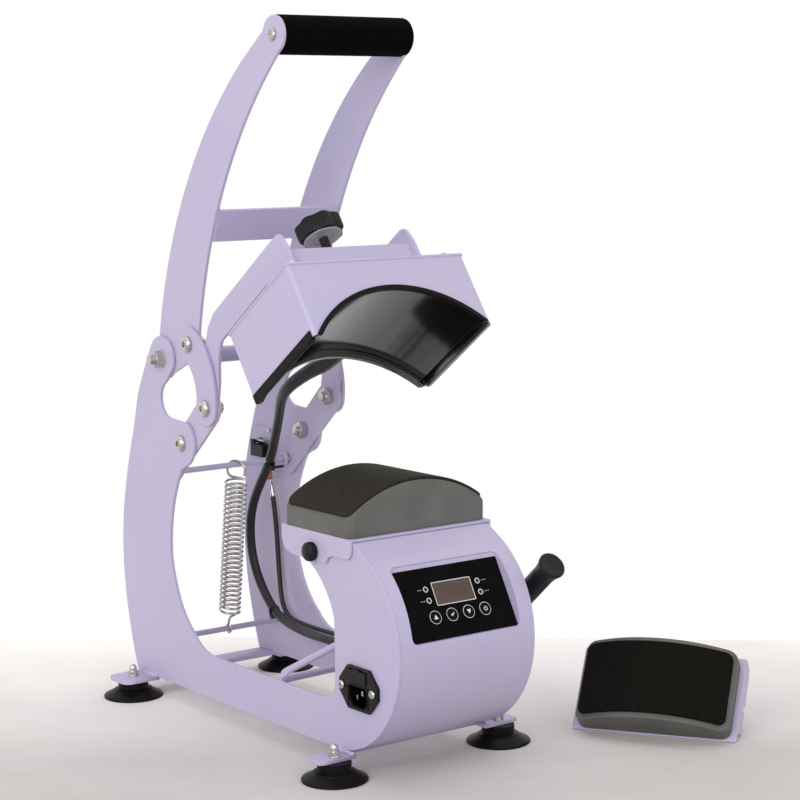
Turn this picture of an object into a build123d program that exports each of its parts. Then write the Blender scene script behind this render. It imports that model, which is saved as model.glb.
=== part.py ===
"""Cap heat press: a C-shaped sheet-steel frame with a drum for the electronics, a curved heated platen
on a toggle linkage, a curved lower platen and a smaller spare one that lies beside the press.

Millimetres. The origin is on the bench at the middle of the four suction feet, +X to the operator's
right, -Y to the operator, +Z up. Side-view places are pairs (y, z). The levers are stored open.
"""
from build123d import *
import math
import os

os.makedirs("parts", exist_ok=True)

# ---- clearances ----
BODY_GAP = 0.3          # between pieces that move past each other
RUNNING_FIT = 0.06      # radial, pin in a moving hole
SCREW_FIT = 0.2         # radial, screw in a clearance hole

# ---- sheet work ----
FRAME_WIDTH = 132.0     # over the two side plates
PLATE = 3.0             # side plates, levers, foot strips
SHEET = 1.2             # drum cover
BRACKET_SHEET = 2.0     # platen brackets and housing
LOBE = 15.0             # rounded lever end
PIVOT_PIN = 4.0         # radius of the lever screws

# ---- feet ----
FOOT_SPAN_X = 162.0
FOOT_SPAN_Y = 314.0
CUP_RADIUS = 26.0
CUP_HEIGHT = 15.0
CUP_NECK = 13.0
CUP_SHOULDER = 15.0
CUP_RIM = 3.0           # width of the flat rim
CUP_HOLLOW = 3.5
STUD_RADIUS = 3.0
STUD_DEPTH = 8.0        # stud moulded into the cup
STRIP_LENGTH = 196.0
STRIP_WIDTH = 34.0
STRIP_CORNER = 8.0
WASHER = 1.2
FOOT_NUT_FLATS = 10.0
FOOT_NUT_HEX = 5.0
FOOT_NUT_DOME = 4.6

# ---- frame outline ----
DRUM_Y = -138.0
DRUM_RADIUS = 84.0
DECK_CUT = 2.0          # the deck lies this far below the drum's crown
DECK_WEB = 15.0         # between the deck and the window
DECK_FRONT_Y = -164.0
DECK_REAR_Y = -72.0
WINDOW_RADIUS = 69.2
RAIL_Z = 55.0
RAIL_CORNER = 18.0
BACK_Y = 200.0
BASE_REAR_Y = 178.0
BACK_COVER_SETBACK = 2.0

# ---- linkage, levers open ----
HANDLE_PIVOT = (118.0, 303.0)
ARM_PIVOT = (87.0, 233.0)
LINK_TOP = (72.0, 319.0)
LINK_FOOT = (46.0, 267.0)
OPEN_TILT = 35.0        # the platen arm swings this far from level to open
FRAME_LOBE_TOP = 20.0
FRAME_LOBE_ARM = 20.0
HANDLE_LOBE = 17.5
ARM_LOBE = 16.0
TAIL_LOBE = 14.0
TAIL_REACH = (39.6, -7.6)       # from the arm pivot to the tail rod, arm level
TAIL_ROD = 2.5
SPRING_ANCHOR = (135.0, 52.0)

# ---- handle ----
GRIP_AXIS = (-64.0, 570.0)
GRIP_RADIUS = 15.0
GRIP_ROD = 6.0
GRIP_END_ROUND = 4.0
CROSSBAR_LOW = (40.0, 407.0)
CROSSBAR_HIGH = (29.0, 433.0)
PIVOT_TUBE = 7.0

# ---- pressing arch, arm level ----
PLATEN_Y = -115.0       # middle of both platens and the pressure screw
ARCH_Z = 120.0          # axis of the curved faces
PAD_FACE = 107.5        # radius of the pad's face
CAP_GAP = 3.0           # room for the cap between pad and heated plate
PAD = 2.5
PAD_CORNER = 6.0

# ---- heated platen, arm level ----
HOUSING_WIDTH = 170.0
HOUSING_DEPTH = 105.0
HOUSING_TOP = 253.0
HOUSING_BOTTOM = 188.5
HOUSING_CORNER = 3.0
LID_LAP = 1.0           # the lid stands proud of the walls
MOUTH_RADIUS = 105.5
TRIM = 2.0              # rubber below the edge that it covers
TRIM_LAP = 1.5          # its thickness on the sheet
TRIM_REACH = 2.0        # its height on the arched edges
SIDE_TRIM_REACH = 6.0   # its height on the straight edges
HOT_PLATE = 8.0
HOT_SIDE_GAP = 1.0      # to the housing's side walls
ELEMENT = 2.0
ELEMENT_MARGIN = 15.0   # inside the plate's edge
INSULATION_GAP = 1.0    # under the lid
HOUSING_SCREW_INSET_X = 11.0
HOUSING_SCREW_INSET_Y = 8.5
HOUSING_SCREW = 2.0
HOUSING_SCREW_HEAD = 4.0
CABLE_BOSS = 5.5
CABLE_BOSS_LENGTH = 12.0

# ---- pressure screw, arm level ----
SCREW_RADIUS = 4.0
KNOB_RADIUS = 20.0
KNOB_Z = 306.5
KNOB_HEIGHT = 16.0
KNOB_LOBES = 7
KNOB_DISH = 14.0        # radius of the recess in its underside
KNOB_DISH_DEPTH = 1.5
COLLAR_RADIUS = 7.0
COLLAR = 3.5
SOCKET_RADIUS = 12.0
SOCKET_HEIGHT = 11.0
BRIDGE_Z = 281.0        # top of the bridge between the platen arms
BRIDGE_FRONT_Y = -142.0
BRIDGE_DROP = 23.0
BRIDGE_REAR = 24.0      # behind the screw axis
BRIDGE_NUT = 8.0
BRIDGE_NUT_DEPTH = 9.0

# ---- lower platens ----
BASE_WIDTH = 136.0
BASE_DEPTH = 86.0
BASE_CORNER = 8.0
PAD_SIDE_MARGIN = 5.5
PAD_FRONT_MARGIN = 1.5
BRACKET_FRONT = 54.0    # from the platen's middle
BRACKET_REAR = 52.0
FLANGE_DEEP = 16.0
FLANGE_SHALLOW = 8.0
FLANGE_STEP_Y = -18.0
FLANGE_FRONT_ROUND = 7.0
FLANGE_REAR_ROUND = 9.0
THUMBSCREW_Y = -114.5
THUMBSCREW_DROP = 13.4  # below the deck
THUMBSCREW_RADIUS = 2.5
THUMBSCREW_KNOB = 6.25
THUMBSCREW_KNOB_LENGTH = 9.0
THUMBSCREW_REACH = 6.0  # past the inside of the side plate

SPARE_PLACE = (207.8, -213.1)
SPARE_YAW = -56.7
SPARE_WIDTH = 128.0
SPARE_DEPTH = 72.0
SPARE_BRACKET_HALF = 37.0
SPARE_FLANGE_FRONT = -23.0
SPARE_FLANGE_DEEP = 17.0
SPARE_FLANGE_SHALLOW = 2.0
SPARE_PAD_MARGIN = 6.0
SPARE_EDGE = 13.0       # height of the spare base's sides
SPARE_RISE = 18.5       # height of its arch over the sides

# ---- control panel ----
PANEL_TOP_ANGLE = 51.0  # above the drum's front, about its axis
PANEL_FOOT_ANGLE = 7.0
RECESS_WIDTH = 104.0
RECESS_CORNER = 5.0
RECESS_ROOM = 12.0
PANEL_WIDTH = 100.0
PANEL_EDGE_GAP = 1.3    # above and below the panel in its recess
PANEL = 1.5
PANEL_CORNER = 3.0
FLOOR_HOLE_WIDTH = 90.0
FLOOR_HOLE_HEIGHT = 48.0
DISPLAY_WIDTH = 36.4
DISPLAY_HEIGHT = 17.5
DISPLAY_RAISE = 8.2     # display centre above the panel's middle
DISPLAY = 0.6
LED_X = 25.0
LED_ROWS = (13.0, 4.0)
LED_RADIUS = 1.6
KEY_RADIUS = 4.8
KEY_SPACING = 16.0
KEY_DROP = 11.3
KEY_PROUD = 0.6
KEY_FLANGE = 5.8
KEY_TRAVEL = 0.6
BOARD_WIDTH = 100.0
BOARD_HEIGHT = 58.0
BOARD = 1.6
BOARD_DEPTH = 8.0
BOARD_POST = 2.0
RELAY = (30.0, 22.0, 18.0)

# ---- mains inlet ----
INLET_SETBACK = 49.5    # behind the front of the drum
INLET_Z = 72.4
INLET_FLANGE = 3.0
INLET_WIDTH = 50.0
INLET_HEIGHT = 34.0
INLET_BODY_WIDTH = 27.0
INLET_BODY_HEIGHT = 31.0
INLET_DEPTH = 26.0
INLET_SCREW_SPACING = 40.0
SOCKET_WIDTH = 24.2
SOCKET_TALL = 16.2
SOCKET_DROP = 6.2
SOCKET_DEPTH = 16.0
PIN_SPACING = 7.0
PIN_SIZE = (2.0, 4.0, 12.0)
DRAWER_WIDTH = 23.0
DRAWER_TALL = 10.0
DRAWER_RISE = 9.4
DRAWER_DEPTH = 21.0
DRAWER_PROUD = 1.0

# ---- fasteners ----
HEAD_RADIUS = 7.0
HEAD = 4.4
HEX_SOCKET = 2.9
NUT_FLATS = 13.0
NUT = 8.0
PIVOT_WASHER = 8.5
PAN_RADIUS = 3.4
PAN = 2.4
SMALL_SCREW = 1.8

# ---- rods, spring, cables ----
BRACE = 3.0
BRACE_LOW = (-56.0, 54.5)
BRACE_FAR = (-27.0, 48.0)
BRACE_HIGH = (-20.5, 112.7)     # (x, z) at the drum's back cover
SPRING_X = 6.0
SPRING_COIL = 8.5
SPRING_WIRE = 0.9
SPRING_TURNS = 28
SPRING_LOW = 67.0
SPRING_HIGH = 189.0
CABLE = 3.75
CABLE_X = 25.0
CABLE_EXIT_DROP = 16.0  # cable boss below the housing's top
LEAD = 1.5
GROMMET = 6.5
GROMMET_LENGTH = 6.0

# ---- microswitch and side grip ----
SWITCH_LOW = (144.0, 202.0)
SWITCH_SIZE = (10.0, 20.0, 11.0)
SWITCH_SCREWS = ((167.0, 206.0), (146.0, 226.0))
SWITCH_PLATE = 1.2
LEVER_PIVOT = (161.0, 215.5)
LEVER_LENGTH = 15.0
SIDE_GRIP_X = 82.0
SIDE_GRIP_END = (-225.0, 157.0)
SIDE_GRIP_LENGTH = 54.0
SIDE_GRIP_LEAN = 41.0
SIDE_GRIP_RADIUS = 8.75
SIDE_GRIP_FLARE = 11.25
SIDE_GRIP_STUD = 4.0
DRUM_STUD = (25.0, 104.0)       # (x, z) on the drum's back cover

# ---- derived planes ----
OUTER_X = FRAME_WIDTH / 2
INNER_X = OUTER_X - PLATE
ARM_OUT = INNER_X - BODY_GAP
ARM_IN = ARM_OUT - PLATE
FLOOR_OF_FRAME = CUP_HEIGHT + PLATE
DRUM = (DRUM_Y, FLOOR_OF_FRAME + DRUM_RADIUS)
DECK_Z = FLOOR_OF_FRAME + 2 * DRUM_RADIUS - DECK_CUT
WINDOW_Z = DECK_Z - DECK_WEB - WINDOW_RADIUS
THUMBSCREW = (THUMBSCREW_Y, DECK_Z - THUMBSCREW_DROP)
INLET = (DRUM_Y - DRUM_RADIUS + INLET_SETBACK, INLET_Z)
WINDOW = (DECK_REAR_Y, WINDOW_Z)
BACK_COVER_Y = DRUM_Y - BACK_COVER_SETBACK
BASE_Z = DECK_Z + BODY_GAP + BRACKET_SHEET
BASE_FACE = PAD_FACE - PAD
HOT_FACE = PAD_FACE + CAP_GAP
HOUSING_HALF_WIDTH = HOUSING_WIDTH / 2
PLATEN_HALF_DEPTH = HOUSING_DEPTH / 2
HOT_HALF_WIDTH = HOUSING_HALF_WIDTH - BRACKET_SHEET - HOT_SIDE_GAP
INSULATION_TOP = HOUSING_TOP - BRACKET_SHEET - INSULATION_GAP
ELEMENT_HALF_WIDTH = HOT_HALF_WIDTH - ELEMENT_MARGIN


# ---- small makers ----
def at(place, dy, dz):
    return (place[0] + dy, place[1] + dz)


def polar(centre, radius, degrees):
    angle = math.radians(degrees)
    return (centre[0] + radius * math.cos(angle), centre[1] + radius * math.sin(angle))


def across(centre, radius, y, side=1):
    """The point of a side-view circle at a given y, above (1) or below (-1) its centre."""
    return (y, centre[1] + side * math.sqrt(radius ** 2 - (y - centre[0]) ** 2))


def turned(place, centre, degrees):
    angle = math.radians(degrees)
    dy, dz = place[0] - centre[0], place[1] - centre[1]
    return (
        centre[0] + dy * math.cos(angle) - dz * math.sin(angle),
        centre[1] + dy * math.sin(angle) + dz * math.cos(angle),
    )


def outline(start, *steps):
    """A closed side-view face. A step is a point, or a pair (through, end) for an arc."""
    edges = []
    here = start
    for step in steps:
        if isinstance(step[0], tuple):
            edges.append(ThreePointArc(here, step[0], step[1]))
            here = step[1]
        else:
            edges.append(Line(here, step))
            here = step
    if math.dist(here, start) > 1e-6:
        edges.append(Line(here, start))
    return make_face(edges)


def dome_step(rim, apex):
    """The arc step of a dome whose centre lies on the axis, from its rim to its apex."""
    sag = apex - rim[1]
    radius = (rim[0] ** 2 + sag ** 2) / (2 * sag)
    half = math.asin(rim[0] / radius) / 2
    return ((radius * math.sin(half), apex - radius + radius * math.cos(half)), (0, apex))


def disc(centre, radius):
    return Pos(*centre) * Circle(radius)


def sheet(face, x0, thickness):
    return extrude(Plane.YZ.offset(x0) * face, thickness, dir=(1, 0, 0))


def rod(start, end, radius):
    axis = Vector(*end) - Vector(*start)
    plane = Plane(origin=start, z_dir=axis)
    return plane * Cylinder(radius, axis.length, align=(Align.CENTER, Align.CENTER, Align.MIN))


def cross_rod(place, radius, x0, x1):
    return rod((x0, *place), (x1, *place), radius)


def block(low, high):
    size = [b - a for a, b in zip(low, high)]
    return Pos(*low) * Box(*size, align=(Align.MIN, Align.MIN, Align.MIN))


def within(shape, room):
    """The part of a shape that lies in a room."""
    return Part() + (shape & room)


def both_sides(shape):
    return shape + mirror(shape, about=Plane.YZ)


def prism(plane, face, depth):
    return extrude(plane * face, depth, dir=plane.z_dir)


def button_head(seat, direction):
    """A domed socket head that stands on its seat."""
    head = Cylinder(HEAD_RADIUS, HEAD, align=(Align.CENTER, Align.CENTER, Align.MIN))
    head = fillet(head.edges().group_by(Axis.Z)[-1], HEAD * 0.8)
    socket = extrude(RegularPolygon(HEX_SOCKET, 6), HEAD)
    return Plane(origin=seat, z_dir=direction) * (head - Pos(0, 0, HEAD / 2) * socket)


def nut(seat, direction, bore, flats=NUT_FLATS, height=NUT):
    """A hexagon nut with its nylon collar, on its seat."""
    collar = height * 0.25
    shape = extrude(RegularPolygon(flats / 2, 6, major_radius=False), height - collar)
    shape += Pos(0, 0, height - collar / 2) * Cylinder(flats / 2 - 0.7, collar)
    shape -= Cylinder(bore, 4 * height)
    return Plane(origin=seat, z_dir=direction) * shape


def pan_head(seat, direction, radius=PAN_RADIUS, height=PAN):
    head = Cylinder(radius, height, align=(Align.CENTER, Align.CENTER, Align.MIN))
    head = fillet(head.edges().group_by(Axis.Z)[-1], height * 0.6)
    slot = Box(radius * 1.2, height * 0.3, height)
    head -= Pos(0, 0, height) * (slot + Rot(0, 0, 90) * slot)
    return Plane(origin=seat, z_dir=direction) * head


def opened(shape):
    """Swings a shape that is drawn with the platen arm level into the open position."""
    return Pos(0, *ARM_PIVOT) * Rot(-OPEN_TILT, 0, 0) * Pos(0, -ARM_PIVOT[0], -ARM_PIVOT[1]) * shape


def route(points, radius, ends=(True, True)):
    """A tube along straight runs with arcs as large as the runs allow."""
    vectors = [Vector(*p) for p in points]
    bends = []
    for before, here, after in zip(vectors, vectors[1:], vectors[2:]):
        run = min((here - before).length, (after - here).length)
        if before is vectors[0]:
            run = min(2 * (here - before).length, (after - here).length)
        half_turn = math.radians((here - before).get_angle(after - here)) / 2
        bends.append(0.45 * run / math.tan(half_turn))
    print("bend radii", [round(bend) for bend in bends], "for a tube of radius", radius)
    path = FilletPolyline(*points, radius=bends)
    start = Plane(origin=points[0], z_dir=vectors[1] - vectors[0])
    return sweep(start * Circle(radius), path=path)


def halfway(a, b):
    return tuple((u + v) / 2 for u, v in zip(a, b))


def save(shape, node):
    export_step(shape, "parts/" + node + ".step")


# ---- where the open platen arm carries things ----
LEVEL_FOOT = turned(LINK_FOOT, ARM_PIVOT, OPEN_TILT)
LEVEL_TAIL = at(ARM_PIVOT, *TAIL_REACH)
TAIL = turned(LEVEL_TAIL, ARM_PIVOT, -OPEN_TILT)


# ---- side plates ----
def side_plate_outline():
    deck_front = across(DRUM, DRUM_RADIUS, DRUM_Y - 40.0)
    window_front = across(WINDOW, WINDOW_RADIUS, DRUM_Y)
    rail_corner = (DRUM_Y + RAIL_CORNER, RAIL_Z + RAIL_CORNER)
    top = HANDLE_PIVOT
    arm = ARM_PIVOT
    face = outline(
        at(top, -FRAME_LOBE_TOP, 0),
        (at(top, 0, FRAME_LOBE_TOP), at(top, 18, 9)),
        ((BACK_Y - 26, 240), (BACK_Y - 3, 165)),
        ((BACK_Y, 105), (BACK_Y - 19, 27)),
        (BASE_REAR_Y, FLOOR_OF_FRAME),
        (DRUM_Y, FLOOR_OF_FRAME),
        (at(DRUM, -DRUM_RADIUS, 0), deck_front),
        (DECK_FRONT_Y, DECK_Z),
        (DECK_REAR_Y, DECK_Z),
        (DECK_REAR_Y, WINDOW_Z + WINDOW_RADIUS),
        (polar(WINDOW, WINDOW_RADIUS, 135), window_front),
        (DRUM_Y, RAIL_Z + RAIL_CORNER),
        (polar(rail_corner, RAIL_CORNER, 225), (DRUM_Y + RAIL_CORNER, RAIL_Z)),
        (40, RAIL_Z),
        ((82, RAIL_Z + 13), (103, RAIL_Z + 39)),
        ((111, 142), at(arm, 2, -23)),
        polar(arm, FRAME_LOBE_ARM, 255),
        (at(arm, -FRAME_LOBE_ARM, 0), polar(arm, FRAME_LOBE_ARM, 115)),
        at(arm, 21, 20),
        (at(arm, 34, 34), at(arm, 24, 51)),
        at(top, -19, -6),
    )
    return face


def inlet_cutout():
    return Pos(*INLET) * Rectangle(INLET_BODY_WIDTH + 2 * SCREW_FIT, INLET_BODY_HEIGHT + 2 * SCREW_FIT)


def side_plates():
    plain = side_plate_outline()
    for place in (HANDLE_PIVOT, ARM_PIVOT):
        plain -= disc(place, PIVOT_PIN + RUNNING_FIT)
    plain -= disc(THUMBSCREW, THUMBSCREW_RADIUS + RUNNING_FIT)
    left = plain - inlet_cutout()
    for side in (-1, 1):
        left -= disc(at(INLET, side * INLET_SCREW_SPACING / 2, 0), SMALL_SCREW)
    right = plain
    for place in SWITCH_SCREWS:
        right -= disc(place, SMALL_SCREW)
    right -= disc(side_grip_root(), SIDE_GRIP_STUD)
    save(sheet(left, -OUTER_X, PLATE), "side_plate_left")
    save(sheet(right, INNER_X, PLATE), "side_plate_right")


# ---- feet ----
def foot_places():
    return [(sx * FOOT_SPAN_X / 2, sy * FOOT_SPAN_Y / 2) for sx in (-1, 1) for sy in (-1, 1)]


def feet():
    strip = extrude(RectangleRounded(STRIP_LENGTH, STRIP_WIDTH, STRIP_CORNER), PLATE)
    strips = Pos(0, FOOT_SPAN_Y / 2, CUP_HEIGHT) * strip + Pos(0, -FOOT_SPAN_Y / 2, CUP_HEIGHT) * strip
    half_profile = outline(
        (0, CUP_HOLLOW),
        (0, CUP_HEIGHT),
        (CUP_NECK, CUP_HEIGHT),
        (CUP_NECK, CUP_HEIGHT - 6),
        (CUP_SHOULDER, CUP_HEIGHT - 6),
        (CUP_SHOULDER, CUP_HEIGHT - 8),
        ((CUP_RADIUS - 6, 3.6), (CUP_RADIUS, 1.2)),
        (CUP_RADIUS, 0),
        (CUP_RADIUS - CUP_RIM, 0),
        dome_step((CUP_RADIUS - CUP_RIM, 0), CUP_HOLLOW),
    )
    cup = revolve(Plane.XZ * half_profile, Axis.Z)
    socket = Pos(0, 0, CUP_HEIGHT - STUD_DEPTH / 2) * Cylinder(STUD_RADIUS, STUD_DEPTH)
    cup -= socket
    stud_top = FLOOR_OF_FRAME + WASHER + FOOT_NUT_HEX + 1.5
    stud = rod((0, 0, CUP_HEIGHT - STUD_DEPTH), (0, 0, stud_top), STUD_RADIUS)
    washer = Pos(0, 0, FLOOR_OF_FRAME + WASHER / 2) * (Cylinder(6.2, WASHER) - Cylinder(STUD_RADIUS, WASHER))
    dome = extrude(RegularPolygon(FOOT_NUT_FLATS / 2, 6, major_radius=False), FOOT_NUT_HEX)
    dome += rod((0, 0, FOOT_NUT_HEX), (0, 0, FOOT_NUT_HEX + 2.4), FOOT_NUT_DOME)
    dome += Pos(0, 0, FOOT_NUT_HEX + 2.4) * (Sphere(FOOT_NUT_DOME) & Pos(0, 0, 10) * Box(20, 20, 20))
    dome = Pos(0, 0, FLOOR_OF_FRAME + WASHER) * dome - stud
    cups, fixings = Part(), Part()
    for x, y in foot_places():
        strips -= Pos(x, y, CUP_HEIGHT) * Cylinder(STUD_RADIUS + SCREW_FIT, 4 * PLATE)
        cups += Pos(x, y, 0) * cup
        fixings += Pos(x, y, 0) * Compound([stud, washer, dome])
    save(strips, "foot_strips")
    save(cups, "suction_feet")
    save(fixings, "foot_fixings")


# ---- drum ----
def drum_face():
    radius = WINDOW_RADIUS + BACK_COVER_SETBACK
    rear = DECK_REAR_Y - BACK_COVER_SETBACK
    corner = across(WINDOW, radius, BACK_COVER_Y)
    return outline(
        (rear, DECK_Z),
        (DECK_FRONT_Y, DECK_Z),
        across(DRUM, DRUM_RADIUS, DRUM_Y - 40.0),
        (at(DRUM, -DRUM_RADIUS, 0), across(DRUM, DRUM_RADIUS, BACK_COVER_Y, -1)),
        corner,
        (polar(WINDOW, radius, 135), across(WINDOW, radius, rear)),
    )


def panel_plane():
    """Local x is the press's x, local y runs up the panel and local z points out of it."""
    top = polar(DRUM, DRUM_RADIUS - SHEET, 180 - PANEL_TOP_ANGLE)
    foot = polar(DRUM, DRUM_RADIUS - SHEET, 180 - PANEL_FOOT_ANGLE)
    middle = halfway(top, foot)
    up = Vector(0, top[0] - foot[0], top[1] - foot[1]).normalized()
    return Plane(origin=(0, *middle), x_dir=(1, 0, 0), z_dir=Vector(1, 0, 0).cross(up))


def chord():
    return 2 * (DRUM_RADIUS - SHEET) * math.sin(math.radians(PANEL_TOP_ANGLE - PANEL_FOOT_ANGLE) / 2)


def drum():
    face = drum_face()
    shell = sheet(face, -INNER_X, 2 * INNER_X) - sheet(offset(face, -SHEET), -INNER_X, 2 * INNER_X)
    behind = block(
        (-OUTER_X, BACK_COVER_Y - SHEET, FLOOR_OF_FRAME), (OUTER_X, DECK_REAR_Y, DECK_Z - SHEET)
    )
    lip = (-OUTER_X, BACK_COVER_Y - SHEET, FLOOR_OF_FRAME)
    behind -= block(lip, (OUTER_X, BACK_COVER_Y + SHEET, FLOOR_OF_FRAME + SHEET))
    back = within(shell, behind)
    cover = Part() + (shell - behind)
    plane = panel_plane()
    recess = RectangleRounded(RECESS_WIDTH, chord(), RECESS_CORNER)
    tray_face = RectangleRounded(RECESS_WIDTH + 2 * SHEET, chord() + 2 * SHEET, RECESS_CORNER + SHEET)
    room = prism(plane, recess, RECESS_ROOM)
    tray = prism(plane.offset(-SHEET), tray_face, RECESS_ROOM) - room
    drum_bar = rod((-INNER_X, *DRUM), (INNER_X, *DRUM), DRUM_RADIUS)
    cover = Part() + (cover - room) + within(tray, drum_bar)
    cover -= prism(plane.offset(-2 * SHEET), Rectangle(FLOOR_HOLE_WIDTH, FLOOR_HOLE_HEIGHT), 3 * SHEET)
    x, z = grommet_place()
    back -= rod((x, BACK_COVER_Y - PLATE, z), (x, BACK_COVER_Y + PLATE, z), GROMMET - 1)
    x, z = DRUM_STUD
    back -= rod((x, BACK_COVER_Y - PLATE, z), (x, BACK_COVER_Y + PLATE, z), SMALL_SCREW)
    save(cover, "drum_cover")
    save(back, "drum_back_plate")


# ---- control panel ----
def key_places():
    return [((n - 1.5) * KEY_SPACING, -KEY_DROP) for n in range(4)]


def control_panel():
    plane = panel_plane()
    panel_height = chord() - 2 * PANEL_EDGE_GAP
    panel = extrude(RectangleRounded(PANEL_WIDTH, panel_height, PANEL_CORNER), PANEL)
    glass = extrude(Rectangle(DISPLAY_WIDTH, DISPLAY_HEIGHT), DISPLAY)
    window = Pos(0, DISPLAY_RAISE, PANEL - DISPLAY) * glass
    panel -= window
    lenses = Part() + window
    for side in (-1, 1):
        for row in LED_ROWS:
            lens = Pos(side * LED_X, row, PANEL / 2) * Cylinder(LED_RADIUS, PANEL)
            panel -= lens
            lenses += lens
    key = Pos(0, 0, -BODY_GAP) * Cylinder(
        KEY_RADIUS - RUNNING_FIT, PANEL + BODY_GAP + KEY_PROUD, align=(Align.CENTER, Align.CENTER, Align.MIN)
    )
    key = fillet(key.edges().group_by(Axis.Z)[-1], 0.3)
    key += Pos(0, 0, -BODY_GAP - 0.5) * Cylinder(KEY_FLANGE, 1.0)
    for number, (x, y) in enumerate(key_places()):
        panel -= Pos(x, y, PANEL / 2) * Cylinder(KEY_RADIUS, 2 * PANEL)
        save(plane * (Pos(x, y, 0) * key), "key_" + str(number + 1))
    save(plane * panel, "control_panel")
    save(plane * lenses, "display_and_leds")


def control_board():
    board = Pos(0, 0, -BOARD_DEPTH - BOARD / 2) * Box(BOARD_WIDTH, BOARD_HEIGHT, BOARD)
    switch_top = -BODY_GAP - 1.0 - KEY_TRAVEL - BODY_GAP
    for x, y in key_places():
        board += Pos(x, y, 0) * block((-3, -3, -BOARD_DEPTH), (3, 3, switch_top))
    for sx in (-1, 1):
        for sy in (-1, 1):
            x, y = sx * (BOARD_WIDTH / 2 - BOARD_POST), sy * (BOARD_HEIGHT / 2 - BOARD_POST)
            board += rod((x, y, -BOARD_DEPTH), (x, y, -SHEET), BOARD_POST)
    depth = BOARD_DEPTH + BOARD
    board += Pos(-20, 5, -depth - RELAY[2] / 2) * Box(*RELAY)
    board += Pos(22, -8, -depth - RELAY[2] / 3) * Cylinder(8, RELAY[2] * 2 / 3)
    save(panel_plane() * board, "control_board")


# ---- mains inlet ----
def inlet_plane():
    """Local x points forward, local y up and local z out of the left side plate."""
    return Plane(origin=(-OUTER_X, *INLET), x_dir=(0, -1, 0), z_dir=(-1, 0, 0))


def mains_inlet():
    plane = inlet_plane()
    half_w, half_h = INLET_WIDTH / 2, INLET_HEIGHT / 2
    corners = [(half_w, -5), (half_w, 5), (14, half_h), (-14, half_h)]
    corners += [(-half_w, 5), (-half_w, -5), (-14, -half_h), (14, -half_h)]
    body = extrude(outline(*corners), INLET_FLANGE)
    body += Pos(0, 0, -INLET_DEPTH / 2) * Box(INLET_BODY_WIDTH, INLET_BODY_HEIGHT, INLET_DEPTH)
    socket = Box(SOCKET_WIDTH, SOCKET_TALL, SOCKET_DEPTH)
    socket = Pos(0, -SOCKET_DROP, INLET_FLANGE - SOCKET_DEPTH / 2) * socket
    body -= chamfer(socket.edges().filter_by(Axis.Z).group_by(Axis.Y)[0], 4.5)
    drawer_room = Box(DRAWER_WIDTH, DRAWER_TALL, DRAWER_DEPTH)
    body -= Pos(0, DRAWER_RISE, INLET_FLANGE - DRAWER_DEPTH / 2) * drawer_room
    for side in (-1, 1):
        body -= Pos(side * INLET_SCREW_SPACING / 2, 0, 0) * Cylinder(SMALL_SCREW, 4 * INLET_FLANGE)
    pins = Part()
    pin = Box(*PIN_SIZE, align=(Align.CENTER, Align.CENTER, Align.MIN))
    floor = INLET_FLANGE - SOCKET_DEPTH
    for x, y in ((-PIN_SPACING, -2), (PIN_SPACING, -2), (0, 2)):
        pins += Pos(x, y - SOCKET_DROP, floor) * pin
    length = DRAWER_DEPTH + DRAWER_PROUD - BODY_GAP
    tray = Box(DRAWER_WIDTH - 2 * BODY_GAP, DRAWER_TALL - 2 * BODY_GAP, length)
    tray -= Pos(0, 2, -2) * Box(DRAWER_WIDTH - 3, DRAWER_TALL - 3, DRAWER_DEPTH - 6)
    tray = Pos(0, DRAWER_RISE, INLET_FLANGE + DRAWER_PROUD - length / 2) * tray
    save(plane * body, "inlet_body")
    save(plane * pins, "inlet_pins")
    save(plane * tray, "fuse_drawer")


# ---- lower rods, braces and frame fasteners ----
def cross_bars():
    bars = cross_rod(SPRING_ANCHOR, TAIL_ROD, -INNER_X, INNER_X)
    bars += rod((-OUTER_X, *BRACE_LOW), (OUTER_X, *BRACE_FAR), BRACE)
    x, z = BRACE_HIGH
    bars += rod((-OUTER_X, BRACE_LOW[0], BRACE_LOW[1] + 4), (x, BACK_COVER_Y, z), BRACE)
    room = block((-INNER_X, BACK_COVER_Y, FLOOR_OF_FRAME), (INNER_X, BACK_Y, DECK_Z))
    save(within(bars, room), "cross_bars")


def side_grip_root():
    reach = SIDE_GRIP_LENGTH - SIDE_GRIP_RADIUS
    lean = math.radians(SIDE_GRIP_LEAN)
    return at(SIDE_GRIP_END, reach * math.cos(lean), -reach * math.sin(lean))


def small_screw(seat, direction, length):
    start = Vector(*seat)
    end = start - Vector(*direction).normalized() * length
    return pan_head(seat, direction) + rod(tuple(end), seat, SMALL_SCREW)


def frame_screws():
    screws = Part()
    face = -OUTER_X - INLET_FLANGE
    for side in (-1, 1):
        screws += small_screw((face, *at(INLET, side * INLET_SCREW_SPACING / 2, 0)), (-1, 0, 0), 9)
    for place in SWITCH_SCREWS:
        screws += small_screw((OUTER_X, *place), (1, 0, 0), PLATE + SWITCH_PLATE + 2)
    root = side_grip_root()
    screws += cross_rod(root, SIDE_GRIP_STUD, INNER_X - 8, SIDE_GRIP_X)
    screws += nut((INNER_X, *root), (-1, 0, 0), SIDE_GRIP_STUD, height=6)
    x, z = DRUM_STUD
    screws += rod((x, BACK_COVER_Y - 10, z), (x, BACK_COVER_Y + 12, z), SMALL_SCREW)
    screws += nut((x, BACK_COVER_Y, z), (0, 1, 0), SMALL_SCREW, flats=8, height=4)
    save(screws, "frame_screws")


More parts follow.
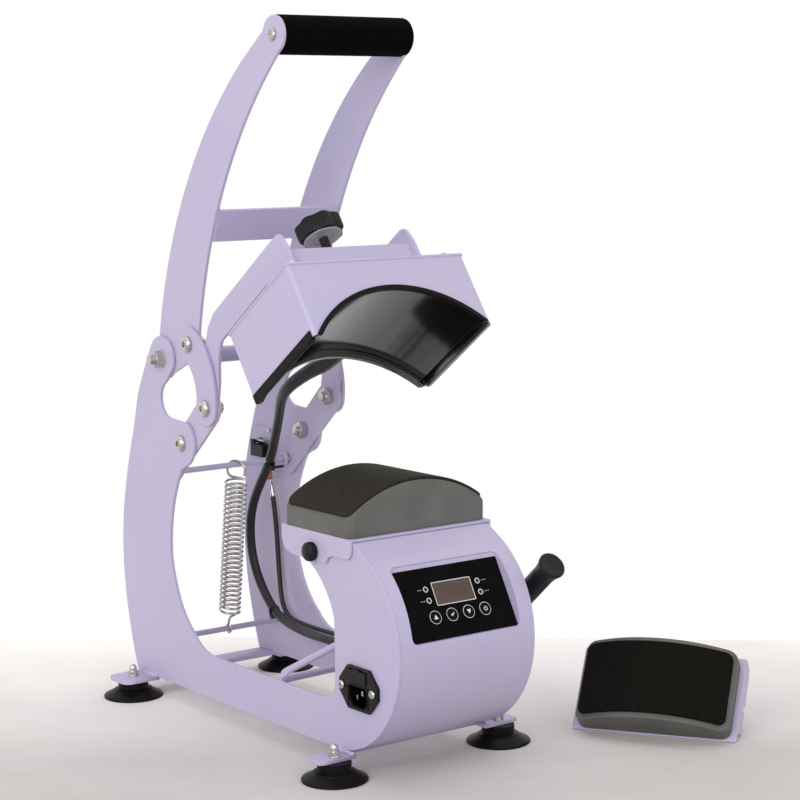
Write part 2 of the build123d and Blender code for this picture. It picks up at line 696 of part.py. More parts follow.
def side_grip():
    profile = outline(
        (0, 0),
        (SIDE_GRIP_RADIUS, 0),
        (SIDE_GRIP_RADIUS, SIDE_GRIP_LENGTH - 12),
        ((SIDE_GRIP_FLARE - 0.8, SIDE_GRIP_LENGTH - 6), (SIDE_GRIP_FLARE, SIDE_GRIP_LENGTH - 1.5)),
        (SIDE_GRIP_FLARE - 1.5, SIDE_GRIP_LENGTH),
        dome_step((SIDE_GRIP_FLARE - 1.5, SIDE_GRIP_LENGTH), SIDE_GRIP_LENGTH - 2),
    )
    root = side_grip_root()
    direction = Vector(0, SIDE_GRIP_END[0] - root[0], SIDE_GRIP_END[1] - root[1]).normalized()
    foot = Vector(SIDE_GRIP_X, *root) - direction * SIDE_GRIP_RADIUS
    grip = Plane(origin=tuple(foot), z_dir=direction) * revolve(Plane.XZ * profile, Axis.Z)
    grip -= cross_rod(root, SIDE_GRIP_STUD, INNER_X, SIDE_GRIP_X)
    save(grip, "side_grip")


def pivot_bolts():
    """One long bolt through the handle's tube, and a screw and lock nut at each platen-arm pivot."""
    reach = OUTER_X + WASHER + NUT + 3
    bolts = cross_rod(HANDLE_PIVOT, PIVOT_PIN, -reach, OUTER_X)
    bolts += button_head((OUTER_X, *HANDLE_PIVOT), (1, 0, 0))
    ring = sheet(disc(HANDLE_PIVOT, PIVOT_WASHER) - disc(HANDLE_PIVOT, PIVOT_PIN), -OUTER_X - WASHER, WASHER)
    lock = nut((-OUTER_X - WASHER, *HANDLE_PIVOT), (-1, 0, 0), PIVOT_PIN)
    screw = button_head((OUTER_X, *ARM_PIVOT), (1, 0, 0))
    screw += cross_rod(ARM_PIVOT, PIVOT_PIN, ARM_IN - NUT - 2, OUTER_X)
    lock_arm = nut((ARM_IN - BODY_GAP, *ARM_PIVOT), (-1, 0, 0), PIVOT_PIN)
    pieces = [bolts, ring, lock, screw, lock_arm]
    pieces += [mirror(piece, about=Plane.YZ) for piece in (screw, lock_arm)]
    save(Compound(pieces), "pivot_bolts")


# ---- handle ----
def handle():
    top = HANDLE_PIVOT
    grip = GRIP_AXIS
    body = outline(
        at(top, 8, 15.5),
        ((93, 418), at(grip, 46, -18)),
        at(grip, 13, 5),
        at(grip, -12, -9),
        ((5, 470), at(LINK_TOP, -12, 9)),
        at(LINK_TOP, 2, -14.8),
        at(top, -12, -12.5),
    )
    arm = body + disc(top, HANDLE_LOBE) + disc(LINK_TOP, LOBE) + disc(grip, LOBE)
    arm -= disc(top, PIVOT_PIN + RUNNING_FIT)
    arm -= disc(LINK_TOP, PIVOT_PIN)
    arm -= disc(grip, SMALL_SCREW + SCREW_FIT)
    right = sheet(arm, ARM_IN, PLATE)
    save(right, "handle_arm_right")
    save(mirror(right, about=Plane.YZ), "handle_arm_left")
    high, low = Vector(*CROSSBAR_HIGH), Vector(*CROSSBAR_LOW)
    run = high - low
    across_run = Vector(-run.Y, run.X).normalized() * PLATE
    corners = [low, high, high + across_run, low + across_run]
    bar = outline(*[(c.X, c.Y) for c in corners])
    save(sheet(bar, -ARM_IN, 2 * ARM_IN), "handle_crossbar")
    tube = disc(top, PIVOT_TUBE) - disc(top, PIVOT_PIN + SCREW_FIT)
    save(sheet(tube, -ARM_IN, 2 * ARM_IN), "pivot_tube")
    foam = cross_rod(grip, GRIP_RADIUS, -ARM_IN, ARM_IN)
    foam = fillet(foam.edges().filter_by(GeomType.CIRCLE), GRIP_END_ROUND)
    foam -= cross_rod(grip, GRIP_ROD, -ARM_IN, ARM_IN)
    save(foam, "grip_foam")
    core = cross_rod(grip, GRIP_ROD, -ARM_IN, ARM_IN)
    screw = cross_rod(grip, SMALL_SCREW, ARM_IN - 12, ARM_OUT)
    head = pan_head((ARM_OUT, *grip), (1, 0, 0), 5.0, 2.6)
    core -= both_sides(screw)
    save(Compound([core, screw + head, mirror(screw + head, about=Plane.YZ)]), "grip_rod_and_screws")
    stub = cross_rod(LINK_TOP, PIVOT_PIN, ARM_IN - NUT - 1.5, ARM_OUT)
    lock = nut((ARM_IN, *LINK_TOP), (-1, 0, 0), PIVOT_PIN)
    pieces = [stub, lock, mirror(stub, about=Plane.YZ), mirror(lock, about=Plane.YZ)]
    save(Compound(pieces), "handle_link_nuts")


# ---- links ----
def links():
    middle = halfway(LINK_TOP, LINK_FOOT)
    body = outline(
        at(LINK_TOP, -7.4, 13.4),
        (at(middle, -21.7, 10.8), at(LINK_FOOT, -14.6, -3.2)),
        at(LINK_FOOT, 14.8, 2.6),
        (at(middle, 5.9, -1), at(LINK_TOP, 8.2, -12.4)),
    )
    link = body + disc(LINK_TOP, LOBE) + disc(LINK_FOOT, LOBE)
    link -= disc(LINK_TOP, PIVOT_PIN)
    link -= disc(LINK_FOOT, PIVOT_PIN + RUNNING_FIT)
    right = sheet(link, INNER_X, PLATE)
    save(right, "link_right")
    save(mirror(right, about=Plane.YZ), "link_left")
    screw = button_head((OUTER_X, *LINK_TOP), (1, 0, 0)) + cross_rod(LINK_TOP, PIVOT_PIN, INNER_X, OUTER_X)
    save(both_sides(screw), "link_head_screws")
    foot = button_head((OUTER_X + BODY_GAP, *LINK_FOOT), (1, 0, 0))
    foot += cross_rod(LINK_FOOT, PIVOT_PIN, ARM_IN - NUT - 1.5, OUTER_X + BODY_GAP)
    lock = nut((ARM_IN, *LINK_FOOT), (-1, 0, 0), PIVOT_PIN)
    pieces = [foot, lock, mirror(foot, about=Plane.YZ), mirror(lock, about=Plane.YZ)]
    save(Compound(pieces), "link_foot_screws")


# ---- platen arms, drawn level ----
def platen_arms():
    arm, foot, tail = ARM_PIVOT, LEVEL_FOOT, LEVEL_TAIL
    body = outline(
        (BRIDGE_FRONT_Y - 5, BRIDGE_Z - 1),
        (BRIDGE_FRONT_Y - 2.3, BRIDGE_Z + 10.2),
        ((BRIDGE_FRONT_Y + 0.2, BRIDGE_Z + 14), (BRIDGE_FRONT_Y + 4.5, BRIDGE_Z + 15.6)),
        (-21, BRIDGE_Z + 16),
        (-6, BRIDGE_Z + 11),
        at(foot, -15, 36.5),
        at(foot, -7, 26.5),
        at(foot, 6, 14),
        at(arm, -14, 14),
        at(arm, 0, ARM_LOBE),
        at(tail, 1, TAIL_LOBE),
        at(tail, -5, -13),
        at(arm, 0, -ARM_LOBE),
        at(foot, 0, -LOBE),
        at(foot, -14.6, -3),
        at(foot, -27, 9.5),
        at(foot, -39, 26),
        (-17, BRIDGE_Z - 9),
        (-104, BRIDGE_Z - 9),
        (-116, BRIDGE_Z - BRIDGE_DROP),
        (BRIDGE_FRONT_Y, BRIDGE_Z - BRIDGE_DROP),
        ((BRIDGE_FRONT_Y - 3.5, BRIDGE_Z - BRIDGE_DROP + 1.5), (BRIDGE_FRONT_Y - 5, BRIDGE_Z - BRIDGE_DROP + 5)),
    )
    side = body + disc(foot, LOBE) + disc(arm, ARM_LOBE) + disc(tail, TAIL_LOBE)
    side -= disc(arm, PIVOT_PIN + RUNNING_FIT)
    side -= disc(foot, PIVOT_PIN)
    right = opened(sheet(side, ARM_IN, PLATE))
    save(right, "platen_arm_right")
    save(mirror(right, about=Plane.YZ), "platen_arm_left")
    rear = PLATEN_Y + BRIDGE_REAR
    bridge = block(
        (-ARM_IN, BRIDGE_FRONT_Y, BRIDGE_Z - BRIDGE_DROP), (ARM_IN, BRIDGE_FRONT_Y + PLATE, BRIDGE_Z)
    )
    bridge += block((-ARM_IN, BRIDGE_FRONT_Y, BRIDGE_Z - PLATE), (ARM_IN, rear, BRIDGE_Z))
    bridge += rod((0, PLATEN_Y, BRIDGE_Z - BRIDGE_NUT_DEPTH), (0, PLATEN_Y, BRIDGE_Z), BRIDGE_NUT)
    bridge -= rod((0, PLATEN_Y, HOUSING_TOP), (0, PLATEN_Y, BRIDGE_Z + PLATE), SCREW_RADIUS + RUNNING_FIT)
    save(opened(bridge), "arm_cross_plate")
    save(cross_rod(TAIL, TAIL_ROD, -ARM_IN, ARM_IN), "tail_rod")


# ---- heated platen, drawn level ----
def arch_bar(radius, half_width, half_depth, axis_z, low, high):
    """A block whose top is an arch about the platen's axis."""
    bar = rod((0, PLATEN_Y - half_depth, axis_z), (0, PLATEN_Y + half_depth, axis_z), radius)
    front, rear = PLATEN_Y - half_depth, PLATEN_Y + half_depth
    return within(bar, block((-half_width, front, low), (half_width, rear, high)))


def housing_screw_places():
    inset_x = HOUSING_HALF_WIDTH - HOUSING_SCREW_INSET_X
    inset_y = PLATEN_HALF_DEPTH - HOUSING_SCREW_INSET_Y
    spots = [(sx * inset_x, sy * inset_y) for sx in (-1, 1) for sy in (-1, 1)]
    return [(x, PLATEN_Y + y) for x, y in spots]


def heated_platen():
    height = HOUSING_TOP - HOUSING_BOTTOM
    shell = Pos(0, PLATEN_Y, HOUSING_BOTTOM + height / 2) * Box(HOUSING_WIDTH, HOUSING_DEPTH, height)
    shell = fillet(shell.edges().filter_by(Axis.Z), HOUSING_CORNER)
    wall = BRACKET_SHEET
    lid = Pos(0, PLATEN_Y, HOUSING_TOP - wall / 2) * Box(
        HOUSING_WIDTH + 2 * LID_LAP, HOUSING_DEPTH + 2 * LID_LAP, wall
    )
    lid = fillet(lid.edges().filter_by(Axis.Z), HOUSING_CORNER)
    inner_corner = HOUSING_CORNER - wall
    hollow = Pos(0, PLATEN_Y, HOUSING_BOTTOM + height / 2 - wall) * Box(
        HOUSING_WIDTH - 2 * wall, HOUSING_DEPTH - 2 * wall, height
    )
    hollow = fillet(hollow.edges().filter_by(Axis.Z), inner_corner)
    front = PLATEN_Y - PLATEN_HALF_DEPTH
    rear = PLATEN_Y + PLATEN_HALF_DEPTH
    mouth = rod((0, front - PLATE, ARCH_Z), (0, rear + PLATE, ARCH_Z), MOUTH_RADIUS)
    shell = shell + lid - hollow - mouth
    socket = rod((0, PLATEN_Y, HOUSING_TOP - wall), (0, PLATEN_Y, HOUSING_TOP + SOCKET_HEIGHT), SOCKET_RADIUS)
    shell += socket
    collar_low = HOUSING_TOP + wall
    collar_high = collar_low + COLLAR
    shell -= rod(
        (0, PLATEN_Y, collar_low - BODY_GAP), (0, PLATEN_Y, collar_high + BODY_GAP), COLLAR_RADIUS + BODY_GAP
    )
    shell -= rod((0, PLATEN_Y, collar_low), (0, PLATEN_Y, KNOB_Z), SCREW_RADIUS + BODY_GAP)
    boss_z = cable_exit_height()
    boss = rod((CABLE_X, rear - wall, boss_z), (CABLE_X, rear + CABLE_BOSS_LENGTH, boss_z), CABLE_BOSS)
    shell += boss
    shell -= rod((CABLE_X, rear - PLATE, boss_z), (CABLE_X, rear + CABLE_BOSS_LENGTH, boss_z), CABLE)

    trim = Part()
    for face_y, outward in ((front, -1), (rear, 1)):
        inner = face_y - outward * wall
        outer = face_y + outward * TRIM_LAP
        ends = ((0, inner, ARCH_Z), (0, outer, ARCH_Z))
        ring = rod(*ends, MOUTH_RADIUS)
        ring += rod((0, face_y, ARCH_Z), (0, outer, ARCH_Z), MOUTH_RADIUS + TRIM_REACH)
        ring -= rod(*ends, MOUTH_RADIUS - TRIM)
        low_y, high_y = min(inner, outer), max(inner, outer)
        half = HOUSING_HALF_WIDTH - HOUSING_CORNER
        trim += within(ring, block((-half, low_y, HOUSING_BOTTOM), (half, high_y, HOUSING_TOP)))
    side_low = HOUSING_BOTTOM - TRIM
    half_side = PLATEN_HALF_DEPTH - HOUSING_CORNER
    lip = block(
        (HOUSING_HALF_WIDTH - wall, PLATEN_Y - half_side, side_low),
        (HOUSING_HALF_WIDTH + TRIM_LAP, PLATEN_Y + half_side, HOUSING_BOTTOM),
    )
    lip += block(
        (HOUSING_HALF_WIDTH, PLATEN_Y - half_side, side_low),
        (HOUSING_HALF_WIDTH + TRIM_LAP, PLATEN_Y + half_side, HOUSING_BOTTOM + SIDE_TRIM_REACH),
    )
    trim += both_sides(lip)

    half_depth = PLATEN_HALF_DEPTH - wall - BODY_GAP
    below = HOUSING_BOTTOM
    top = INSULATION_TOP
    hot = arch_bar(HOT_FACE + HOT_PLATE, HOT_HALF_WIDTH, half_depth, ARCH_Z, below, top)
    hot -= rod((0, front, ARCH_Z), (0, rear, ARCH_Z), HOT_FACE)
    mat_face = HOT_FACE + HOT_PLATE
    mat = arch_bar(mat_face + ELEMENT, ELEMENT_HALF_WIDTH, half_depth - 8, ARCH_Z, below, top)
    mat -= rod((0, front, ARCH_Z), (0, rear, ARCH_Z), mat_face)
    wool = block(
        (-HOT_HALF_WIDTH, PLATEN_Y - half_depth, below), (HOT_HALF_WIDTH, PLATEN_Y + half_depth, top)
    )
    wool -= rod((0, front, ARCH_Z), (0, rear, ARCH_Z), mat_face + ELEMENT)
    screws = Part()
    for x, y in housing_screw_places():
        seat = ARCH_Z + math.sqrt(mat_face ** 2 - x ** 2) - HOT_PLATE / 2
        shank = rod((x, y, seat), (x, y, HOUSING_TOP), HOUSING_SCREW)
        screws += shank + pan_head((x, y, HOUSING_TOP), (0, 0, 1), HOUSING_SCREW_HEAD)
        shell -= rod((x, y, HOUSING_TOP - PLATE), (x, y, HOUSING_TOP + PLATE), HOUSING_SCREW)
        hot -= shank
        wool -= rod((x, y, below), (x, y, top), HOUSING_SCREW + SCREW_FIT)
    save(opened(shell), "platen_housing")
    save(opened(trim), "edge_trim")
    save(opened(hot), "heated_plate")
    save(opened(mat), "heating_element")
    save(opened(wool), "insulation_pad")
    save(opened(screws), "housing_screws")


def pressure_screw():
    foot = HOUSING_TOP + BRACKET_SHEET
    stud = rod((0, PLATEN_Y, foot), (0, PLATEN_Y, KNOB_Z + KNOB_HEIGHT - 3), SCREW_RADIUS)
    stud += rod((0, PLATEN_Y, foot), (0, PLATEN_Y, foot + COLLAR), COLLAR_RADIUS)
    lobe_ring = KNOB_RADIUS - 6.5
    face = Circle(lobe_ring)
    for n in range(KNOB_LOBES):
        spot = polar((0, 0), lobe_ring, n * 360 / KNOB_LOBES)
        face += Pos(*spot) * Circle(6.5)
    knob = Pos(0, PLATEN_Y, KNOB_Z) * extrude(face, KNOB_HEIGHT)
    knob -= rod((0, PLATEN_Y, KNOB_Z), (0, PLATEN_Y, KNOB_Z + KNOB_DISH_DEPTH), KNOB_DISH)
    knob -= rod((0, PLATEN_Y, KNOB_Z), (0, PLATEN_Y, KNOB_Z + KNOB_HEIGHT - 3), SCREW_RADIUS)
    save(opened(stud), "pressure_stud")
    save(opened(knob), "pressure_knob")


# ---- lower platens ----
def base_block(width, depth, face_radius, axis_drop):
    """An arched base about its own middle, its bottom at z = 0; the arch's axis lies axis_drop below."""
    base = Box(width, depth, 4 * face_radius, align=(Align.CENTER, Align.CENTER, Align.MIN))
    base = fillet(base.edges().filter_by(Axis.Z), BASE_CORNER)
    return within(base, rod((0, -depth, -axis_drop), (0, depth, -axis_drop), face_radius))


def pad_block(width, depth, face_radius, axis_drop):
    blank = Box(width, depth, 4 * face_radius, align=(Align.CENTER, Align.CENTER, Align.MIN))
    blank = fillet(blank.edges().filter_by(Axis.Z), PAD_CORNER)
    ends = ((0, -depth, -axis_drop), (0, depth, -axis_drop))
    return within(blank, rod(*ends, face_radius + PAD) - rod(*ends, face_radius))


def bracket(front, rear, deep, shallow, step_y, slot_y, slot_drop):
    """A folded plate with a flange down each side; its lower face is at z = 0."""
    inner = OUTER_X + BODY_GAP
    outer = inner + BRACKET_SHEET
    plate = block((-outer, -front, 0), (outer, rear, BRACKET_SHEET))
    corner = FLANGE_REAR_ROUND
    flange = outline(
        (rear, BRACKET_SHEET),
        (rear, -deep + corner),
        (polar((rear - corner, -deep + corner), corner, -45), (rear - corner, -deep)),
        (step_y, -deep),
        (step_y - 5, -shallow),
        (-front + FLANGE_FRONT_ROUND, -shallow),
        (-front, 0),
        (-front, BRACKET_SHEET),
    )
    slot = THUMBSCREW_RADIUS + SCREW_FIT
    flange -= disc((slot_y, -slot_drop), slot)
    flange -= Pos(slot_y, -slot_drop - deep / 2) * Rectangle(2 * slot, deep)
    side = sheet(flange, inner, BRACKET_SHEET)
    return plate + both_sides(side)


def lower_platen():
    lift = Pos(0, PLATEN_Y, DECK_Z + BODY_GAP)
    drop = DECK_Z + BODY_GAP - THUMBSCREW[1]
    slot_y = THUMBSCREW[0] - PLATEN_Y
    folded = bracket(BRACKET_FRONT, BRACKET_REAR, FLANGE_DEEP, FLANGE_SHALLOW, FLANGE_STEP_Y, slot_y, drop)
    seat = Pos(0, PLATEN_Y, BASE_Z)
    axis_drop = BASE_Z - ARCH_Z
    base = base_block(BASE_WIDTH, BASE_DEPTH, BASE_FACE, axis_drop)
    pad_width, pad_depth = BASE_WIDTH - 2 * PAD_SIDE_MARGIN, BASE_DEPTH - 2 * PAD_FRONT_MARGIN
    pad = pad_block(pad_width, pad_depth, BASE_FACE, axis_drop)
    save(lift * folded, "lower_bracket")
    save(seat * base, "lower_base")
    save(seat * pad, "lower_pad")


def spare_platen():
    """The spare stands on its bracket's front edge and on the front corners of its flanges."""
    tilt = math.degrees(math.atan2(SPARE_FLANGE_DEEP, SPARE_BRACKET_HALF + SPARE_FLANGE_FRONT))
    lift = SPARE_BRACKET_HALF * math.sin(math.radians(tilt))
    place = Pos(*SPARE_PLACE, lift) * Rot(0, 0, SPARE_YAW) * Rot(tilt, 0, 0)
    drop = DECK_Z + BODY_GAP - THUMBSCREW[1]
    half_depth = SPARE_BRACKET_HALF
    deep, shallow = SPARE_FLANGE_DEEP, SPARE_FLANGE_SHALLOW
    folded = bracket(half_depth, half_depth, deep, shallow, SPARE_FLANGE_FRONT, 0, drop)
    half = SPARE_WIDTH / 2
    radius = (half ** 2 + SPARE_RISE ** 2) / (2 * SPARE_RISE)
    axis_drop = radius - SPARE_EDGE - SPARE_RISE
    base = base_block(SPARE_WIDTH, SPARE_DEPTH, radius, axis_drop)
    pad_width, pad_depth = SPARE_WIDTH - 2 * SPARE_PAD_MARGIN, SPARE_DEPTH - 2 * SPARE_PAD_MARGIN
    pad = pad_block(pad_width, pad_depth, radius, axis_drop)
    on_bracket = place * Pos(0, 0, BRACKET_SHEET)
    save(place * folded, "spare_bracket")
    save(on_bracket * base, "spare_base")
    save(on_bracket * pad, "spare_pad")


def thumbscrews():
    face = OUTER_X + 2 * BODY_GAP + BRACKET_SHEET
    shank = cross_rod(THUMBSCREW, THUMBSCREW_RADIUS, INNER_X - THUMBSCREW_REACH, face)
    knob = cross_rod(THUMBSCREW, THUMBSCREW_KNOB, face, face + THUMBSCREW_KNOB_LENGTH)
    knob = fillet(knob.edges().filter_by(GeomType.CIRCLE), 1.0)
    right = shank + knob
    save(right, "thumbscrew_right")
    save(mirror(right, about=Plane.YZ), "thumbscrew_left")


# ---- return spring ----
def return_spring():
    """A close-wound coil between two hooks; each turn is a ridge of the solid."""
    lean = Vector(0, TAIL[0] - SPRING_ANCHOR[0], TAIL[1] - SPRING_ANCHOR[1])
    length = lean.length
    per_height = length / (TAIL[1] - SPRING_ANCHOR[1])
    low = (SPRING_LOW - SPRING_ANCHOR[1]) * per_height
    high = (SPRING_HIGH - SPRING_ANCHOR[1]) * per_height
    inner = SPRING_COIL - 2 * SPRING_WIRE
    pitch = (high - low) / SPRING_TURNS
    edge = SPRING_COIL - SPRING_WIRE
    steps = []
    for n in range(SPRING_TURNS):
        z = low + n * pitch
        steps.append(((SPRING_COIL, z + pitch / 2), (edge, z + pitch)))
    coil = revolve(Plane.XZ * outline((inner, low), (edge, low), *steps, (inner, high)), Axis.Z)
    eye = TAIL_ROD + RUNNING_FIT
    for end, rod_at, sign in ((low, 0.0, 1), (high, length, -1)):
        cap = end + sign * 2 * SPRING_WIRE
        coil += rod((0, 0, min(end, cap)), (0, 0, max(end, cap)), (inner + edge) / 2)
        coil += rod((0, 0, rod_at + sign * (eye + SPRING_WIRE)), (0, 0, cap), SPRING_WIRE)
        ring = Pos(0, rod_at) * (Circle(eye + 2 * SPRING_WIRE) - Circle(eye))
        coil += extrude(Plane.YZ * ring, SPRING_WIRE * 0.9, both=True)
    spring = Plane(origin=(SPRING_X, *SPRING_ANCHOR), x_dir=(1, 0, 0), z_dir=lean) * coil
    save(spring, "return_spring")


# ---- cables ----
def cable_exit_height():
    return HOUSING_TOP - CABLE_EXIT_DROP


def grommet_place():
    return (CABLE_X, RAIL_Z + 3)


def heater_cable():
    """From the heated platen over the arms' tail rod, down in a slack bend and along to the drum."""
    rear = PLATEN_Y + PLATEN_HALF_DEPTH
    level_end = (rear + CABLE_BOSS_LENGTH + BODY_GAP, cable_exit_height())
    y, z = turned(level_end, ARM_PIVOT, -OPEN_TILT)
    y2, z2 = turned(at(level_end, 24, 0), ARM_PIVOT, -OPEN_TILT)
    upper = [(CABLE_X, y, z), (CABLE_X, y2, z2), (27, 36, 279), (30, 74, 264)]
    upper += [(33, 98, 232), (35, *at(TAIL, -7, -2))]
    upper_end = upper[-1]
    slack = [upper_end, (35, 121, 186), (34, 139, 166), (32, 148, 138), (31, 141, 104), (30, 124, 76)]
    x, z = grommet_place()
    lower = [slack[-1], (28, 96, 62), (27, 62, 57), (26, 20, 62), (25, -20, 64), (25, -60, 61)]
    lower += [(x, -95, z), (x, BACK_COVER_Y, z)]
    meet_high = halfway(upper[-2], upper[-1])
    meet_low = halfway(slack[-2], slack[-1])
    save(route([*upper[:-1], meet_high], CABLE), "cable_upper")
    save(route([meet_high, *slack[:-1], meet_low], CABLE), "cable_slack")
    save(route([meet_low, *lower], CABLE), "cable_lower")
    grommet = rod((x, BACK_COVER_Y - 2, z), (x, BACK_COVER_Y + GROMMET_LENGTH, z), GROMMET)
    plate_edge = rod((x, BACK_COVER_Y - SHEET, z), (x, BACK_COVER_Y, z), GROMMET)
    grommet -= plate_edge - rod((x, BACK_COVER_Y - PLATE, z), (x, BACK_COVER_Y + PLATE, z), GROMMET - 1)
    grommet -= rod((x, BACK_COVER_Y - 4, z), (x, BACK_COVER_Y + 2 * GROMMET_LENGTH, z), CABLE)
    save(grommet, "cable_grommet")


def switch_lead():
    low_y, low_z = SWITCH_LOW
    start = (INNER_X - SWITCH_SIZE[0] / 2 - SWITCH_PLATE, low_y + 4, low_z - BODY_GAP)
    points = [start, (56, 146, 182), (54, 148, 150), (52, 140, 112), (50, 124, 80), (48, 92, 64)]
    points += [(46, 52, 60), (44, 12, 62), (42, -30, 62), (42, -75, 60), (42, -110, 62), (42, BACK_COVER_Y, 62)]
    save(route(points, LEAD), "switch_lead")


# ---- microswitch ----
def microswitch():
    y, z = SWITCH_LOW
    depth, length, height = SWITCH_SIZE
    face = INNER_X - SWITCH_PLATE
    carrier = block((face, y - 2, z - 4), (INNER_X, y + length + 8, z + height + 16))
    case = block((face - depth, y, z), (face, y + length, z + height))
    ear_y, ear_z = LEVER_PIVOT
    ear = block((face - depth, ear_y - 3, z + height), (face - depth + 2, ear_y + 3, ear_z + 2))
    ears = ear + Pos(depth - 2, 0, 0) * ear
    pin = cross_rod(LEVER_PIVOT, 0.8, face - depth, face)
    body = carrier + case + ears + pin
    for place in SWITCH_SCREWS:
        body -= cross_rod(place, SMALL_SCREW, face - PLATE, OUTER_X)
    save(body, "microswitch")
    x0, x1 = face - depth + 2 + BODY_GAP, face - 2 - BODY_GAP
    lever = cross_rod(LEVER_PIVOT, 1.7, x0, x1)
    arm_low = (x0, LEVER_PIVOT[0] - LEVER_LENGTH, LEVER_PIVOT[1] + 0.7)
    lever += block(arm_low, (x1, LEVER_PIVOT[0], LEVER_PIVOT[1] + 1.7))
    lever -= cross_rod(LEVER_PIVOT, 0.8 + RUNNING_FIT, x0, x1)
    save(lever, "microswitch_lever")


side_plates()
feet()
drum()
control_panel()
control_board()
mains_inlet()
cross_bars()
frame_screws()
side_grip()
pivot_bolts()
handle()
links()
platen_arms()
heated_platen()
pressure_screw()
lower_platen()
spare_platen()
thumbscrews()
return_spring()
heater_cable()
switch_lead()
microswitch()
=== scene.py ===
import math

import bmesh
import bpy
from mathutils import Matrix, Vector


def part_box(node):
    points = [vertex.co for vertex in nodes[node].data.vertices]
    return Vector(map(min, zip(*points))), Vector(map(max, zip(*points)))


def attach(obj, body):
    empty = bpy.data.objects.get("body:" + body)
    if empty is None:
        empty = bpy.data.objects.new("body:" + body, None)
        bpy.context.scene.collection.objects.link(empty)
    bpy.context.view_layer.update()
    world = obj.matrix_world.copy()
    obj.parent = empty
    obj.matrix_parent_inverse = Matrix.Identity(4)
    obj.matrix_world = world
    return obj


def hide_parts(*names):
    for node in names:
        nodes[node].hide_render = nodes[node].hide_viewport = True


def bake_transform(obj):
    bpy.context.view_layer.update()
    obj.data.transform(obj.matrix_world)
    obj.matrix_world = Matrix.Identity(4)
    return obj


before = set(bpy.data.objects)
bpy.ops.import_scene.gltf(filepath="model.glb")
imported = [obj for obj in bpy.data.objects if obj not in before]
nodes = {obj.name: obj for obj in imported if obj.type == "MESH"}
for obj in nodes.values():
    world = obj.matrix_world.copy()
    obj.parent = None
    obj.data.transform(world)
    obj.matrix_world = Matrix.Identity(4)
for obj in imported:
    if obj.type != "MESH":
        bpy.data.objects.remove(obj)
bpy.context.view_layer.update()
scene = bpy.context.scene
scene.view_settings.view_transform = "Standard"

# ---- bench top and room ----
# A pale cloth-covered bench that ends a little behind the press, with a white room behind it.
# Everything is in metres, x to the operator's right, -y to the operator, the bench at z = 0.
VIEW_BACK = Vector((-0.590, -0.7985, 0.0)).normalized()     # level, from the press towards the viewer
VIEW_SIDE = Vector((-VIEW_BACK.y, VIEW_BACK.x, 0.0))
BENCH_LEFT, BENCH_RIGHT = 0.547, 0.023      # how far behind the press the bench's rear edge lies at each end
BENCH_FRONT = 2.4
BENCH_HALF = 3.0
REAR_LIT_REACH, FRONT_PLAIN_REACH = -0.31, 0.12     # painted light: the cloth's colour is brightened from plain at the front to its palest at the rear over this stretch of the bench
# how much the cloth's colour is multiplied at the rear and at the front, as painted light
REAR_PAINTED_LIGHT, FRONT_PAINTED_LIGHT = 1.95, 1.06


def shade(red, green, blue):
    """A colour given as 0 to 255 in the usual display scale, turned into the linear scale of the shaders."""
    parts = [c / 255 for c in (red, green, blue)]
    return tuple(c / 12.92 if c < 0.04045 else ((c + 0.055) / 1.055) ** 2.4 for c in parts) + (1.0,)


def solid_piece(name, verts, faces):
    mesh = bpy.data.meshes.new(name)
    mesh.from_pydata([tuple(v) for v in verts], [], faces)
    mesh.validate()
    piece = bpy.data.objects.new(name, mesh)
    scene.collection.objects.link(piece)
    return piece


def node_of(tree, kind, operation=None, **values):
    """A new node of a material or geometry tree, with its named inputs set."""
    node = tree.nodes.new(kind)
    if operation:
        node.operation = operation
    for title, value in values.items():
        node.inputs[title.replace("_", " ")].default_value = value
    return node


def wire_up(tree, *links):
    """Links nodes, each link given as (node, output, node, input)."""
    for source, outlet, target, inlet in links:
        tree.links.new(source.outputs[outlet], target.inputs[inlet])


def finish_of(name, light, dark, rough, grain, patch=18.0, bump=0.1, depth=0.0001, metallic=0.0, specular=0.5):
    """A surface whose colour, roughness and fine relief wander a little over the piece."""
    material = bpy.data.materials.new(name)
    material.use_nodes = True
    tree = material.node_tree
    shader = tree.nodes["Principled BSDF"]
    shader.inputs["Metallic"].default_value = metallic
    shader.inputs["Specular IOR Level"].default_value = specular
    place = node_of(tree, "ShaderNodeTexCoord")
    wander = node_of(tree, "ShaderNodeTexNoise", Scale=patch, Detail=4.0)
    ramp = node_of(tree, "ShaderNodeValToRGB")
    for stop, position, colour in zip(ramp.color_ramp.elements, (0.32, 0.68), (dark, light)):
        stop.position = position
        stop.color = shade(*colour)
    fine = node_of(tree, "ShaderNodeTexNoise", Scale=grain, Detail=3.0)
    roughness = node_of(tree, "ShaderNodeMapRange", To_Min=rough[0], To_Max=rough[1])
    relief = node_of(tree, "ShaderNodeBump", Strength=bump, Distance=depth)
    wire_up(
        tree,
        (place, "Object", wander, "Vector"), (place, "Object", fine, "Vector"),
        (wander, "Fac", ramp, "Fac"), (ramp, "Color", shader, "Base Color"),
        (fine, "Fac", roughness, "Value"), (roughness, "Result", shader, "Roughness"),
        (fine, "Fac", relief, "Height"), (relief, "Normal", shader, "Normal"),
    )
    return material


def coat(piece, material):
    piece.data.materials.clear()
    piece.data.materials.append(material)
    return piece


